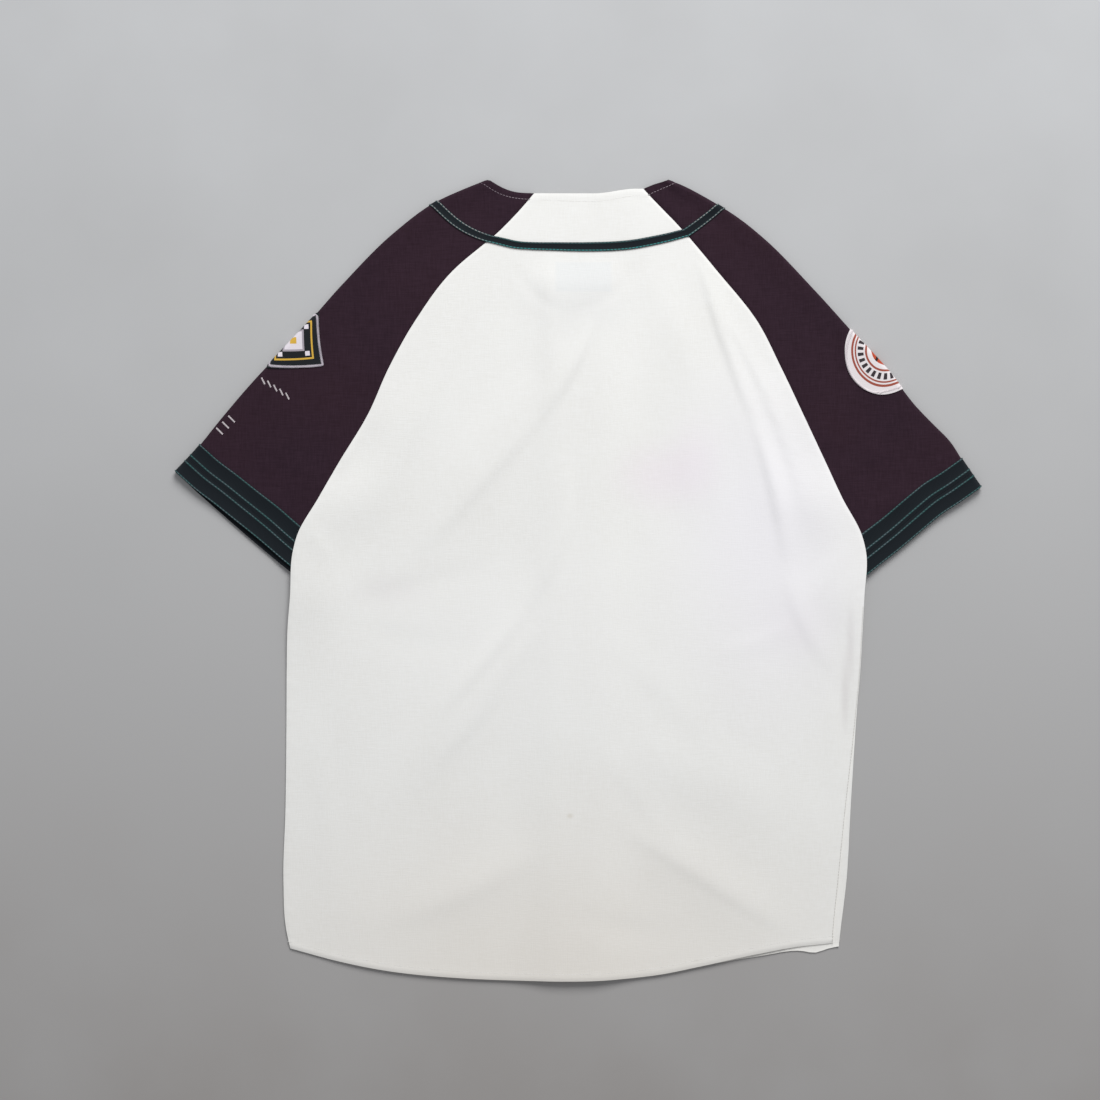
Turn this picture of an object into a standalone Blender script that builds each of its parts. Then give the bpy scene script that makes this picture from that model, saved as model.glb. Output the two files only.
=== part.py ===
"""Short-sleeved raglan baseball jersey, lying face down and flat.

Frame: origin under the middle of the outline, +X to the right and +Y towards the neck as seen
from above, +Z up. The fronts lie on the ground and the back lies on them. Every piece of cloth
is the middle surface of its wall, a grid of rows (neck to hem) and columns, which Solidify
makes into a wall. Trim that lies on a panel is made from that panel's points, moved out.
All sizes below are in millimetres until a mesh is made.
"""

import math
from collections import namedtuple

import bmesh
import bpy
import numpy as np

MM = 0.001

# ---- cloth and clearances ----
WALL = 1.1  # jersey cloth
TRIM = 1.0  # braid tape and sewn-on badges
GAP = 0.3  # between pieces that meet or lie on each other
LAYER = WALL + GAP  # from one layer's middle to the next one's, pressed together
TRIM_OUT = WALL / 2 + GAP + TRIM / 2  # from a panel's middle to the middle of its trim
SEAM_INSET = 0.2  # each panel stops this far short of a raglan seam, level across

# ---- where the layers lie ----
BACK_REST = 2.9  # underside of the back over the fronts
NECK_SAG = 1.6  # how much lower the back lies inside the neck, where no front is under it
NECK_SAG_REACH = 32.0  # over which it goes down
SLEEVE_REST = GAP + TRIM  # underside of a sleeve, which lies on its trim
FOLD_RADIUS = 3.0  # how far a sleeve's top fold rounds inwards
FOLD_LIFT = 4.4  # between the middles of a sleeve's two layers at that fold
SLEEVE_LIFT = 2.3  # the same halfway across the sleeve

# ---- front opening ----
CENTRE_X = -8.0
OVERLAP = 15.0  # each front runs this far past the centre line
PLACKET_HALF = 16.0
PLACKET_END = 2.0  # the placket stops this far from the neck and hem edges
BUTTON_COUNT = 7
BUTTON_TOP_Y = 256.0
BUTTON_PITCH = 95.0
BUTTON_RADIUS = 6.3
BUTTON_THICK = 2.0
BUTTON_BEVEL = 0.4
BUTTON_SIDES = 20

# ---- trim ----
NECK_TAPE_WIDTH = 9.5
NECK_TAPE_CENTRE = 55.0  # from the neck edge to the tape's middle, at the fronts' centre
NECK_TAPE_FOLD = 59.0  # the same at the sleeves' top folds
NECK_TAPE_POWER = 0.5  # under 1 the fronts' tape leaves the centre's distance fast
CUFF_TAPES = {"lower": (0.4, 18.3), "upper": (18.8, 37.0)}  # distances from the hem
BADGE_CUTS = 9  # points along each strip of a badge
TapePoint = namedtuple("TapePoint", "x y")  # the neck tape's middle line across the back
NECK_TAPE = (
    TapePoint(-88, 341.0),
    TapePoint(-78, 338.6),
    TapePoint(-62, 335.0),
    TapePoint(-47, 334.0),
    TapePoint(-24, 333.5),
    TapePoint(10, 333.2),
    TapePoint(37, 334.0),
    TapePoint(52, 335.3),
    TapePoint(75, 339.3),
    TapePoint(91, 342.8),
    TapePoint(106, 346.8),
)

# ---- body, from the neck corners to the hem corners ----
# y of the row, x of the back's edges, x of the fronts' right edge, underside of the back's edge
BodyRow = namedtuple("BodyRow", "y left right front_right edge_z")
BODY = (
    BodyRow(392, -40, 64, 64, 3.6),
    BodyRow(386.5, -44.5, 69, 69, 3.6),
    BodyRow(351, -77, 103, 103, 3.6),
    BodyRow(309, -126, 138.5, 138.5, 3.6),
    BodyRow(261, -162.2, 177.2, 177.2, 3.6),
    BodyRow(213, -189.3, 202.2, 202.2, 3.6),
    BodyRow(165, -210.8, 224.8, 224.8, 4.6),
    BodyRow(117, -239.8, 247.2, 247.2, 4.8),
    BodyRow(82, -259.8, 263.2, 263.2, 7.2),
    BodyRow(45, -280.8, 282.6, 282.6, 7.2),
    BodyRow(30, -284.8, 286.4, 286.4, 7.2),
    BodyRow(-16, -287.8, 285, 285, 7.2),
    BodyRow(-48, -290.5, 283.5, 283.5, 3.4),
    BodyRow(-88, -291.5, 281.5, 281.5, 1.8),
    BodyRow(-150, -292, 276, 277, 1.5),
    BodyRow(-230, -293, 267, 272, 1.5),
    BodyRow(-300, -295, 260, 268, 1.5),
    BodyRow(-350, -292, 255, 262, 1.5),
    BodyRow(-368, -288, 254, 260, 1.5),
)
NECK_CORNER_Y = 386.5
CUFF_CORNER_Y = 8.5
HEM_CORNER_Y = -367.5
RAGLAN_STEPS = 18
SIDE_STEPS = 15
NECK_TILT = 4.5  # the right neck corner is this much higher than the left one
NECK_TILT_FROM, NECK_TILT_OVER = 15.0, 45.0  # the neck edge climbs from this x, over this width
TOP_POWER, HEM_POWER = 2, 6  # how fast rows forget the neck's and the hem's shape

HemPoint = namedtuple("HemPoint", "x back_y front_y")
HEM = (
    HemPoint(-288, -367.5, -366.5),
    HemPoint(-243, -379.5, -378.5),
    HemPoint(-193, -389.5, -388.5),
    HemPoint(-118, -397.0, -396.0),
    HemPoint(-43, -399.5, -398.5),
    HemPoint(31, -398.5, -397.5),
    HemPoint(81, -393.5, -393.0),
    HemPoint(121, -385.5, -385.5),
    HemPoint(181, -372.5, -375.5),
    HemPoint(221, -365.5, -370.5),
    HemPoint(260, -361.5, -366.0),
)

# ---- front neckline, from a raglan seam to the centre ----
FRONT_DROP = 41.0  # the fronts' raglan seams start this far below the back's
FRONT_BLEND = 167.0  # and come level over this height
NECKLINE_TRIES = 200
NECK_CENTRE_Y = 270.0
NeckPoint = namedtuple("NeckPoint", "y left right")
NECKLINE = (
    NeckPoint(350, -81, 106),
    NeckPoint(330, -80, 104),
    NeckPoint(310, -73, 94),
    NeckPoint(290, -56, 68),
    NeckPoint(276, -32, 28),
    NeckPoint(270, -8, 4),
    NeckPoint(268, 12, -20),
    NeckPoint(266, 120, -120),
)

# ---- columns of a body panel ----
EDGE_COLUMNS = (7, 16, 32, 55)  # distances from a side edge
CENTRE_COLUMNS = (18, 45, 75)  # distances from the centre line
FRONT_EDGE_COLUMNS = (18, 45)
FULL_HALF_WIDTH = 150.0  # where the panel is narrower these distances shrink with it
BACK_SHARES = (2 / 3, 1 / 3)  # columns between those groups, as shares of the way from the centre
FRONT_SHARES = (0.5,)

# ---- what lifts the fronts off the ground ----
LiftPoint = namedtuple("LiftPoint", "distance left right")
PLACKET_LIFT = (
    LiftPoint(0, 3.7, 5.2),
    LiftPoint(18, 3.7, 5.2),
    LiftPoint(45, 1.6, 2.3),
    LiftPoint(75, 0, 0),
)
NECK_LIFT_REACH = (88.0, 120.0)  # full to here, gone by here, from the neck edge
RAGLAN_LIFT_REACH = 60.0
RAGLAN_LIFT_ENDS = (205.0, 165.0)  # heights where the seam's lift starts to go and is gone

# ---- back's edges ----
EDGE_PLATEAU, EDGE_FADE = 15.0, 34.0
COVER_REACH = 11.0  # the back clears whatever lies this near under it
COVER_GAP = 0.4

# ---- largest folds of the back: a soft line a-b-c, its rise (+) or dip (-) and half width ----
FOLD_STEPS = 25  # points along the line
FOLD_START = 0.03  # share of the rise's half wave that is already past at the line's ends
FOLD_FULLNESS = 0.6  # under 1 the fold holds its height for longer
Fold = namedtuple("Fold", "ax ay bx by cx cy rise half")
FOLDS = (
    Fold(-10, 255, -75, 175, -165, 35, 1.5, 24),
    Fold(10, 80, -50, -60, -180, -220, 1.6, 26),
    Fold(40, -240, 110, -262, 205, -345, 1.6, 24),
    Fold(-90, -285, -140, -330, -190, -360, -1.0, 26),
    Fold(122, 290, 180, 175, 205, 20, 1.3, 20),
    Fold(205, 20, 235, -60, 268, -125, 1.2, 18),
    Fold(-140, 280, -160, 190, -225, 75, 1.2, 20),
    Fold(40, 190, 90, 120, 120, 10, -0.9, 30),
    Fold(-60, -60, -120, -150, -230, -215, -0.8, 28),
)

# ---- sleeves: one row for each section, from the neck to the cuff ----
# seam_y is where the section meets the back's raglan seam, fold the point on the top fold,
# under_z the underside of the layer next to the ground where it passes over the front
SleeveRow = namedtuple("SleeveRow", "seam_y fold_x fold_y under_z")
SLEEVES = {
    "left": (
        SleeveRow(386.5, -91, 399.5, 1.3),
        SleeveRow(368, -114, 390.5, 1.3),
        SleeveRow(340, -148, 374.5, 1.3),
        SleeveRow(308, -185, 346.5, 1.3),
        SleeveRow(256, -235, 296.5, 1.3),
        SleeveRow(212, -267, 260.5, 1.3),
        SleeveRow(164, -301, 224.5, 1.5),
        SleeveRow(116, -334, 188.5, 1.5),
        SleeveRow(80, -360, 157.5, 2.8),
        SleeveRow(49, -378, 135.0, 2.8),
        SleeveRow(-0.5, -402.5, 108.5, 2.8),
    ),
    "right": (
        SleeveRow(391, 89, 399.5, 1.3),
        SleeveRow(368, 111, 390.5, 1.3),
        SleeveRow(348, 143, 372.5, 1.3),
        SleeveRow(308, 186, 340.5, 1.3),
        SleeveRow(260, 235, 290.5, 1.3),
        SleeveRow(212, 273, 248.5, 1.3),
        SleeveRow(164, 309, 209.5, 1.5),
        SleeveRow(116, 339, 171.5, 1.5),
        SleeveRow(98, 353, 157.0, 2.8),
        SleeveRow(74, 369, 141.0, 2.8),
        SleeveRow(40, 382.5, 121.0, 2.8),
        SleeveRow(-10.5, 402, 92.5, 2.8),
    ),
}
HEM_SEAM_Y = {"left": -0.5, "right": -10.5}
DROP_ENDS = (205.0, 172.0)  # heights where a sleeve starts to sink under the back, and has
TUCK_ENDS = (170.0, 128.0)  # heights where it starts to tuck in under the back's edge, and has
TUCK = 12.0
TUCK_RAMP = 26.0  # over which the lower layer climbs onto the front
TUCK_CLEAR = 4.0  # it is up this far outside the front's edge
RISE_FROM = 0.55  # share of the way out at which the layers start to part towards the fold
SEAM_BLEND = (0.04, 0.34)  # shares between which the seam's own height goes over into the layers'
UPPER_COLUMNS = (0, 0.06, 0.14, 0.28, 0.46, 0.64, 0.82)  # from the seam, share of the way out
LOWER_COLUMNS = (0.8, 0.55, 0.32, 0.18, 0.08, 0)
BEND_STEPS = 6
RUNS_INWARDS = ("front_left", "sleeve_left")  # grids whose normals point into the garment

# How far each layer of a cuff draws back from a straight hem, from the fold to the seam
HemWave = namedtuple("HemWave", "share left_upper left_lower right_upper right_lower")
HEM_WAVE = (
    HemWave(0, 0, 0, 0, 0),
    HemWave(0.15, -0.4, -1.4, 1.4, 1.5),
    HemWave(0.28, 0.9, -1.7, 3.2, 3.5),
    HemWave(0.40, 1.6, -1.9, 2.8, 3.1),
    HemWave(0.64, 2.9, -2.0, 1.8, 2.0),
    HemWave(0.80, 3.0, -1.6, 2.0, 2.2),
    HemWave(0.92, 3.5, -0.8, 2.0, 2.2),
    HemWave(1.0, 4.2, 0, 2.0, 2.2),
)
WAVE_ROWS = 8  # rows over which that grows
NECK_BOW = {"left": 4.0, "right": -0.5}  # how far the upper layer's neck edge dips halfway
NECK_BOW_ROWS = 4

# ---- badges on the sleeves, wrapped over the top fold ----
# along: from the neck edge to the badge's middle; past: how far that lies beyond the fold
Badge = namedtuple("Badge", "side along past radius round slices")
BADGES = {
    "patch_right": Badge("right", 272.0, 8.5, 41.0, True, 15),
    "badge_left": Badge("left", 256.0, -4.0, 38.0, False, 13),
}
ROUND_SPAN = 1.47  # angle of a round badge's first and last slices from its middle
CORNER_SPAN = 0.95  # share of its half width at which a square badge's corners are cut off
SLICE_CLEAR = 2.0  # slices keep this far from the bend's own columns

# ---- finishes: colour, roughness ----
Finish = namedtuple("Finish", "colour roughness")
FINISHES = {
    "cream_cotton": Finish((0.82, 0.81, 0.79), 0.9),
    "aubergine_cotton": Finish((0.030, 0.017, 0.026), 0.92),
    "black_braid": Finish((0.014, 0.022, 0.026), 0.75),
    "felt_white": Finish((0.78, 0.75, 0.73), 0.9),
    "felt_black": Finish((0.012, 0.014, 0.016), 0.85),
    "pearl_button": Finish((0.75, 0.74, 0.70), 0.3),
}


# ---------------------------------------------------------------- curves and tables
def column(table, name):
    return np.array([getattr(row, name) for row in table], float)


def smooth(t):
    """0 below 0, 1 above 1, with level ends."""
    t = np.clip(t, 0, 1)
    return t * t * (3 - 2 * t)


def through(x, xs, ys):
    """A cubic curve through the points xs, ys, whichever way xs runs."""
    xs, ys, x = (np.asarray(v, float) for v in (xs, ys, x))
    if xs[0] > xs[-1]:
        xs, ys = xs[::-1], ys[::-1]
    slopes = np.gradient(ys, xs)
    x = np.clip(x, xs[0], xs[-1])
    i = np.clip(np.searchsorted(xs, x) - 1, 0, len(xs) - 2)
    step = xs[i + 1] - xs[i]
    t = (x - xs[i]) / step
    rise = ys[i] + (ys[i + 1] - ys[i]) * t * t * (3 - 2 * t)
    return rise + step * (slopes[i] * t * (1 - t) ** 2 - slopes[i + 1] * t * t * (1 - t))


def body_value(name, y):
    return through(y, column(BODY, "y"), column(BODY, name))


def edge_distance(x, y, right="right"):
    """How far inside the panel's side edges a point lies, square to the edge."""
    found = []
    for name, sign in (("left", 1), (right, -1)):
        slope = (body_value(name, y + 1) - body_value(name, y - 1)) / 2
        found.append(sign * (x - body_value(name, y)) / np.hypot(1, slope))
    return np.minimum(*found)


# ---------------------------------------------------------------- rows of the body
def station_rows():
    """The rows' heights at the left edge, from the neck corner to the hem corner."""
    raglan = np.linspace(NECK_CORNER_Y, CUFF_CORNER_Y, RAGLAN_STEPS + 1)
    side = np.linspace(CUFF_CORNER_Y, HEM_CORNER_Y, SIDE_STEPS + 1)[1:]
    return np.concatenate([raglan, side])


def run_down(y):
    return (NECK_CORNER_Y - y) / (NECK_CORNER_Y - HEM_CORNER_Y)


def front_level(y):
    """Where a row that meets the back's seam at y meets the front's raglan seam."""
    return y - FRONT_DROP * (1 - smooth((NECK_CORNER_Y - y) / FRONT_BLEND))


def column_x(place, y, right="right"):
    """x of one column at height y. place is (side, kind, distance); see body_columns."""
    side, kind, distance = place
    edge = body_value("left" if side < 0 else right, y)
    half = np.abs(edge - CENTRE_X)
    shrink = np.clip(half / FULL_HALF_WIDTH, 0, 1)
    if kind == "centre":
        return CENTRE_X + side * distance * shrink
    if kind == "edge":
        return edge - side * distance * shrink
    outer, inner = EDGE_COLUMNS[-1] * shrink, CENTRE_COLUMNS[-1] * shrink
    return CENTRE_X + side * (inner + (half - outer - inner) * distance)


def body_columns(side, edge_columns, shares):
    """The columns of one half of a panel, from its side edge inwards."""
    edges = [(side, "edge", d) for d in (0, *edge_columns)]
    middle = [(side, "share", share) for share in shares]
    return edges + middle + [(side, "centre", d) for d in reversed(CENTRE_COLUMNS)]


def row_heights(top, start, hem):
    """Heights of a column's rows: start at its edge stations, top and hem bend the ends."""
    r = run_down(station_rows())
    return start + (top - start[0]) * (1 - r) ** TOP_POWER + (hem - HEM_CORNER_Y) * r**HEM_POWER


def neck_tilt(x):
    return NECK_TILT * smooth((x - NECK_TILT_FROM) / NECK_TILT_OVER)


def hem_height(x, name):
    return through(x, column(HEM, "x"), column(HEM, name))


def neckline_top(place, name):
    """The height at which a front's column comes out of the neck opening into the cloth."""
    y = np.linspace(NECKLINE[0].y, NECKLINE[-1].y, NECKLINE_TRIES)
    line = through(y, column(NECKLINE, "y"), column(NECKLINE, name))
    into_cloth = (column_x(place, y, "front_right") - line) * (-1 if name == "left" else 1)
    return float(np.interp(0.0, into_cloth, y))


# ---------------------------------------------------------------- heights of the layers
def placket_lift(x, name):
    return np.interp(
        np.abs(x - CENTRE_X), column(PLACKET_LIFT, "distance"), column(PLACKET_LIFT, name)
    )


def raglan_lift(x, y):
    """The seam is as high as the sleeve, which lies on its trim."""
    start, gone = RAGLAN_LIFT_ENDS
    near = 1 - smooth(edge_distance(x, y, "front_right") / RAGLAN_LIFT_REACH)
    return SLEEVE_REST * near * (1 - smooth((start - y) / (start - gone)))


def front_underside(x, y, from_neck, name):
    full, gone = NECK_LIFT_REACH
    neck = SLEEVE_REST * (1 - smooth((from_neck - full) / (gone - full)))
    return np.maximum.reduce([neck, raglan_lift(x, y), placket_lift(x, name)])


def under_top(x, y):
    """Upper face of whatever front lies under a point, near enough to clear it."""
    side = np.where(x > CENTRE_X - OVERLAP, placket_lift(x, "right"), placket_lift(x, "left"))
    return WALL + np.maximum(side, raglan_lift(x, y))


def cover(x, y):
    """The highest of what lies under the back within COVER_REACH."""
    reach = (-COVER_REACH, 0, COVER_REACH)
    around = [under_top(x + dx, y + dy) for dx in reach for dy in reach]
    return np.maximum.reduce(around) + COVER_GAP


def fold_height(x, y):
    total = np.zeros_like(x)
    steps = np.linspace(0, 1, FOLD_STEPS)
    wave = np.sin(np.pi * (FOLD_START + steps * (1 - 2 * FOLD_START))) ** FOLD_FULLNESS
    for fold in FOLDS:
        px = (1 - steps) ** 2 * fold.ax + 2 * steps * (1 - steps) * fold.bx + steps**2 * fold.cx
        py = (1 - steps) ** 2 * fold.ay + 2 * steps * (1 - steps) * fold.by + steps**2 * fold.cy
        apart = np.hypot(x[..., None] - px, y[..., None] - py)
        fade = wave[apart.argmin(axis=-1)]
        total += fold.rise * fade * np.exp(-((apart.min(axis=-1) / fold.half) ** 2))
    return total


def in_neck_opening(x, y):
    """0 over the fronts, 1 well inside the opening above their neckline."""
    real = [row for row in NECKLINE if row.y >= NECK_CENTRE_Y]
    line_x = np.concatenate([column(real, "left"), column(real, "right")[::-1]])
    line_y = np.concatenate([column(real, "y"), column(real, "y")[::-1]])
    beside = (x < line_x[0]) | (x > line_x[-1])
    line = np.where(beside, NECK_CORNER_Y, np.interp(x, line_x, line_y))
    return smooth((y - line - COVER_REACH) / NECK_SAG_REACH)


def back_underside(x, y):
    opening = in_neck_opening(x, y)
    rest = BACK_REST - NECK_SAG * opening + fold_height(x, y)
    inner = np.maximum(rest, cover(x, y) * (1 - opening))
    near = 1 - smooth((edge_distance(x, y) - EDGE_PLATEAU) / EDGE_FADE)
    return inner + (body_value("edge_z", y) - inner) * near


# ---------------------------------------------------------------- grids of the body panels
def stack(x, y, z):
    return np.stack([x, y, z], axis=-1)


def back_grid():
    """Rows from the neck to the hem, columns from the left edge to the right one."""
    places = body_columns(-1, EDGE_COLUMNS, BACK_SHARES)
    places += [(1, "centre", 0)] + body_columns(1, EDGE_COLUMNS, BACK_SHARES)[::-1]
    xs, ys = [], []
    for place in places:
        corner = column_x(place, HEM_CORNER_Y)
        tilt = neck_tilt(column_x(place, NECK_CORNER_Y))
        y = row_heights(NECK_CORNER_Y + tilt, station_rows(), hem_height(corner, "back_y"))
        ys.append(y)
        xs.append(column_x(place, np.maximum(y, HEM_CORNER_Y)))
    x, y = np.array(xs).T, np.array(ys).T
    x[:, 0] += SEAM_INSET
    x[:, -1] -= SEAM_INSET
    return stack(x, y, back_underside(x, y) + WALL / 2)


def front_grid(name):
    """One front, from the raglan and side edge to the centre opening."""
    side = -1 if name == "left" else 1
    places = body_columns(side, FRONT_EDGE_COLUMNS, FRONT_SHARES)
    places.append((-side, "centre", OVERLAP))
    edge_rows = station_rows()
    if side > 0:
        r = run_down(edge_rows)
        edge_rows = edge_rows + NECK_TILT * (1 - r) ** TOP_POWER
    level = front_level(edge_rows)
    xs, ys = [], []
    for place in places:
        reach_y = HEM_CORNER_Y
        corner = column_x(place, reach_y, "front_right")
        top = level[0] if place[1:] == ("edge", 0) else neckline_top(place, name)
        y = row_heights(top, level, hem_height(corner, "front_y"))
        ys.append(y)
        xs.append(column_x(place, np.maximum(y, reach_y), "front_right"))
    x, y = np.array(xs).T, np.array(ys).T
    x[:, 0] -= side * SEAM_INSET
    from_neck = np.cumsum(np.hypot(np.diff(x, axis=0), np.diff(y, axis=0)), axis=0)
    from_neck = np.vstack([np.zeros(len(places)), from_neck])
    return stack(x, y, front_underside(x, y, from_neck, name) + WALL / 2)


# ---------------------------------------------------------------- grids of the sleeves
def seam_point(side, y, tuck):
    """A point on the body's raglan edge, moved in under it by tuck."""
    sign = 1 if side == "left" else -1
    slope = (body_value(side, y + 1) - body_value(side, y - 1)) / 2
    inwards = np.array([sign, -sign * slope]) / math.hypot(1, slope)
    return np.array([float(body_value(side, y)), y]) + inwards * (tuck - SEAM_INSET)


def bend_directions():
    return np.linspace(math.pi / 2, -math.pi / 2, BEND_STEPS + 1)


def sleeve_rows(side):
    """The seam heights of a sleeve's sections, level with the back's rows."""
    rows = station_rows()[: RAGLAN_STEPS + 1]
    share = np.linspace(0, 1, RAGLAN_STEPS + 1)
    if side == "right":
        rows = rows + NECK_TILT * (1 - run_down(rows)) ** TOP_POWER
    return rows + (HEM_SEAM_Y[side] - CUFF_CORNER_Y) * share**HEM_POWER


def section(side, index, seam_y):
    """One ring of a sleeve: upper layer from the seam out, round the fold, lower layer back."""
    table = SLEEVES[side]
    seams = column(table, "seam_y")
    fold = np.array([float(through(seam_y, seams, column(table, n))) for n in ("fold_x", "fold_y")])
    under = float(np.interp(seam_y, seams[::-1], column(table, "under_z")[::-1]))
    dropped = float(smooth((DROP_ENDS[0] - seam_y) / (DROP_ENDS[0] - DROP_ENDS[1])))
    tuck = TUCK * float(smooth((TUCK_ENDS[0] - seam_y) / (TUCK_ENDS[0] - TUCK_ENDS[1])))
    upper = seam_point(side, seam_y, tuck)
    lower = seam_point(side, float(front_level(seam_y)), tuck)
    wave = smooth((index - RAGLAN_STEPS + WAVE_ROWS) / WAVE_ROWS)
    neck_bow = NECK_BOW[side] * (1 - smooth(index / NECK_BOW_ROWS))

    def lie(end, share_out, layer):
        """Plan point of a layer at a share of the way from the seam end out to the fold."""
        start = fold + (end - fold) / np.linalg.norm(end - fold) * (FOLD_RADIUS + WALL / 2)
        flat = end + (start - end) * share_out
        across = np.array([end[1] - fold[1], fold[0] - end[0]]) / np.linalg.norm(end - fold)
        across = across if across[1] > 0 else -across
        shares, drawn_back = column(HEM_WAVE, "share"), column(HEM_WAVE, f"{side}_{layer}")
        bow = float(through(1 - share_out, shares, drawn_back)) * wave
        if layer == "upper":
            bow -= neck_bow * math.sin(math.pi * share_out)
        return flat + across * bow, np.linalg.norm(end - flat)

    def lower_z(from_end):
        """Climbs onto the front where the sleeve tucks in over it."""
        return WALL / 2 + SLEEVE_REST + (under - SLEEVE_REST) * (
            1 - smooth((from_end - tuck - TUCK_CLEAR) / TUCK_RAMP)
        )

    seam_z = float(back_underside(*(np.array([v]) for v in upper))[0]) + WALL / 2
    seam_z += (lower_z(0) + LAYER - seam_z) * dropped
    length = np.linalg.norm(upper - fold)

    def upper_z(from_end):
        share = from_end / length
        near_fold = smooth((share - RISE_FROM) / (1 - RISE_FROM))
        apart = SLEEVE_LIFT + (FOLD_LIFT - SLEEVE_LIFT) * near_fold
        at_seam = 1 - smooth((share - SEAM_BLEND[0]) / (SEAM_BLEND[1] - SEAM_BLEND[0]))
        return lower_z(from_end) + apart + (seam_z - lower_z(0) - apart) * at_seam

    ring = []
    for share_out in UPPER_COLUMNS:
        flat, from_end = lie(upper, share_out, "upper")
        ring.append((*flat, upper_z(from_end)))
    top, low = lie(upper, 1, "upper"), lie(lower, 1, "lower")
    top_z, low_z = upper_z(top[1]), lower_z(low[1])
    for angle in bend_directions():
        share = (1 - math.sin(angle)) / 2
        foot = top[0] + (low[0] - top[0]) * share
        out = (fold - foot) / np.linalg.norm(fold - foot)
        flat = foot + out * FOLD_RADIUS * math.cos(angle)
        ring.append((*flat, (top_z + low_z) / 2 + (top_z - low_z) / 2 * math.sin(angle)))
    for share_out in LOWER_COLUMNS:
        flat, from_end = lie(lower, share_out, "lower")
        ring.append((*flat, lower_z(from_end)))
    return ring


def sleeve_grid(side):
    """Rows from the neck to the cuff, columns round the section from the back to the front."""
    return np.array([section(side, i, float(y)) for i, y in enumerate(sleeve_rows(side))])


# ---------------------------------------------------------------- trim made from panels
def moved_out(panels, name, distance=TRIM_OUT):
    """A panel's points, moved this far out from its middle along its normals."""
    grid = panels[name]
    normal = np.cross(np.gradient(grid, axis=0), np.gradient(grid, axis=1))
    normal /= np.linalg.norm(normal, axis=-1, keepdims=True)
    return grid + normal * (-distance if name in RUNS_INWARDS else distance)


def at_distance(line, distances):
    """Points at these distances along a line of points."""
    steps = np.linalg.norm(np.diff(line, axis=0), axis=1)
    run = np.concatenate([[0], np.cumsum(steps)])
    return np.stack([np.interp(distances, run, line[:, k]) for k in range(3)], axis=-1)


def strip_along(grid, near, far):
    """Two rows of points at distances near and far from the grid's first row."""
    pairs = zip(np.broadcast_to(near, grid.shape[1]), np.broadcast_to(far, grid.shape[1]))
    lines = [at_distance(grid[:, j], [a, b]) for j, (a, b) in enumerate(pairs)]
    return np.array(lines).transpose(1, 0, 2)


def between_columns(grid, place):
    """The line of points at a fractional column of a grid."""
    j = min(int(place), grid.shape[1] - 2)
    return grid[:, j] + (grid[:, j + 1] - grid[:, j]) * (place - j)


def tape_distance(line):
    """Distance along one of the back's columns to the neck tape's middle line."""
    run = np.concatenate([[0], np.cumsum(np.linalg.norm(np.diff(line, axis=0), axis=1))])
    below = through(line[:, 0], column(NECK_TAPE, "x"), column(NECK_TAPE, "y")) - line[:, 1]
    return float(np.interp(0, below, run))


def neck_tape_grid(panels):
    """The braid from one side of the placket over both shoulders to the other side."""
    half = NECK_TAPE_WIDTH / 2
    back = moved_out(panels, "back")
    across = np.array([tape_distance(back[:, j]) for j in range(back.shape[1])])
    parts = []
    for side, order, seam in (("left", 1, across[0]), ("right", -1, across[-1])):
        front = moved_out(panels, "front_" + side)[:, -2::-1]
        share = np.linspace(0, 1, front.shape[1]) ** NECK_TAPE_POWER
        middle = NECK_TAPE_CENTRE + (NECK_TAPE_FOLD - NECK_TAPE_CENTRE) * share
        piece = strip_along(front, middle - half, middle + half)
        sleeve = moved_out(panels, "sleeve_" + side)[:, ::-1]
        upper = smooth(np.linspace(-1, 1, sleeve.shape[1]))
        middle = NECK_TAPE_FOLD + (seam - NECK_TAPE_FOLD) * upper
        round_fold = strip_along(sleeve, middle - half, middle + half)
        run = np.concatenate([piece, round_fold[:, 1:-1]], axis=1)
        parts.append(run if order > 0 else run[:, ::-1])
    over_back = strip_along(back, across - half, across + half)
    return np.concatenate([parts[0], over_back, parts[1]], axis=1)


def badge_grid(badge, panels):
    """Strips of the sleeve's outer points round its fold, as long as the badge is wide there.

    A sleeve's sections cross its columns at a slant, so the distance across and the drift along
    are added up apart from each other.
    """
    out = moved_out(panels, "sleeve_" + badge.side)
    columns = range(out.shape[1])
    lines = [at_distance(out[:, j], [badge.along - 1, badge.along, badge.along + 1]) for j in columns]
    lines = np.array(lines)
    step = np.diff(lines[:, 1], axis=0)
    ahead = (lines[1:, 2] - lines[1:, 0] + lines[:-1, 2] - lines[:-1, 0]) / 4
    drift = (step * ahead).sum(axis=1) / np.linalg.norm(ahead, axis=1)
    across = np.sqrt((step**2).sum(axis=1) - drift**2)
    drift, across = (np.concatenate([[0], np.cumsum(v)]) for v in (drift, across))
    first = len(UPPER_COLUMNS)
    middle = across[first + BEND_STEPS // 2] + badge.past
    bend = across[first : first + BEND_STEPS + 1]
    if badge.round:
        wanted = np.sin(np.linspace(-ROUND_SPAN, ROUND_SPAN, badge.slices))
    else:
        wanted = np.linspace(-CORNER_SPAN, CORNER_SPAN, badge.slices)
    wanted = middle + badge.radius * wanted
    clear = [w for w in wanted if np.abs(bend - w).min() > SLICE_CLEAR]
    slices = []
    for place in sorted([*clear, *bend]):
        off = (place - middle) / badge.radius
        half = badge.radius * (math.sqrt(1 - off * off) if badge.round else 1 - abs(off))
        centre = badge.along + np.interp(middle, across, drift) - np.interp(place, across, drift)
        line = between_columns(out, float(np.interp(place, across, np.arange(len(across)))))
        slices.append(at_distance(line, centre + half * np.linspace(-1, 1, BADGE_CUTS)))
    return np.array(slices)


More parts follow.
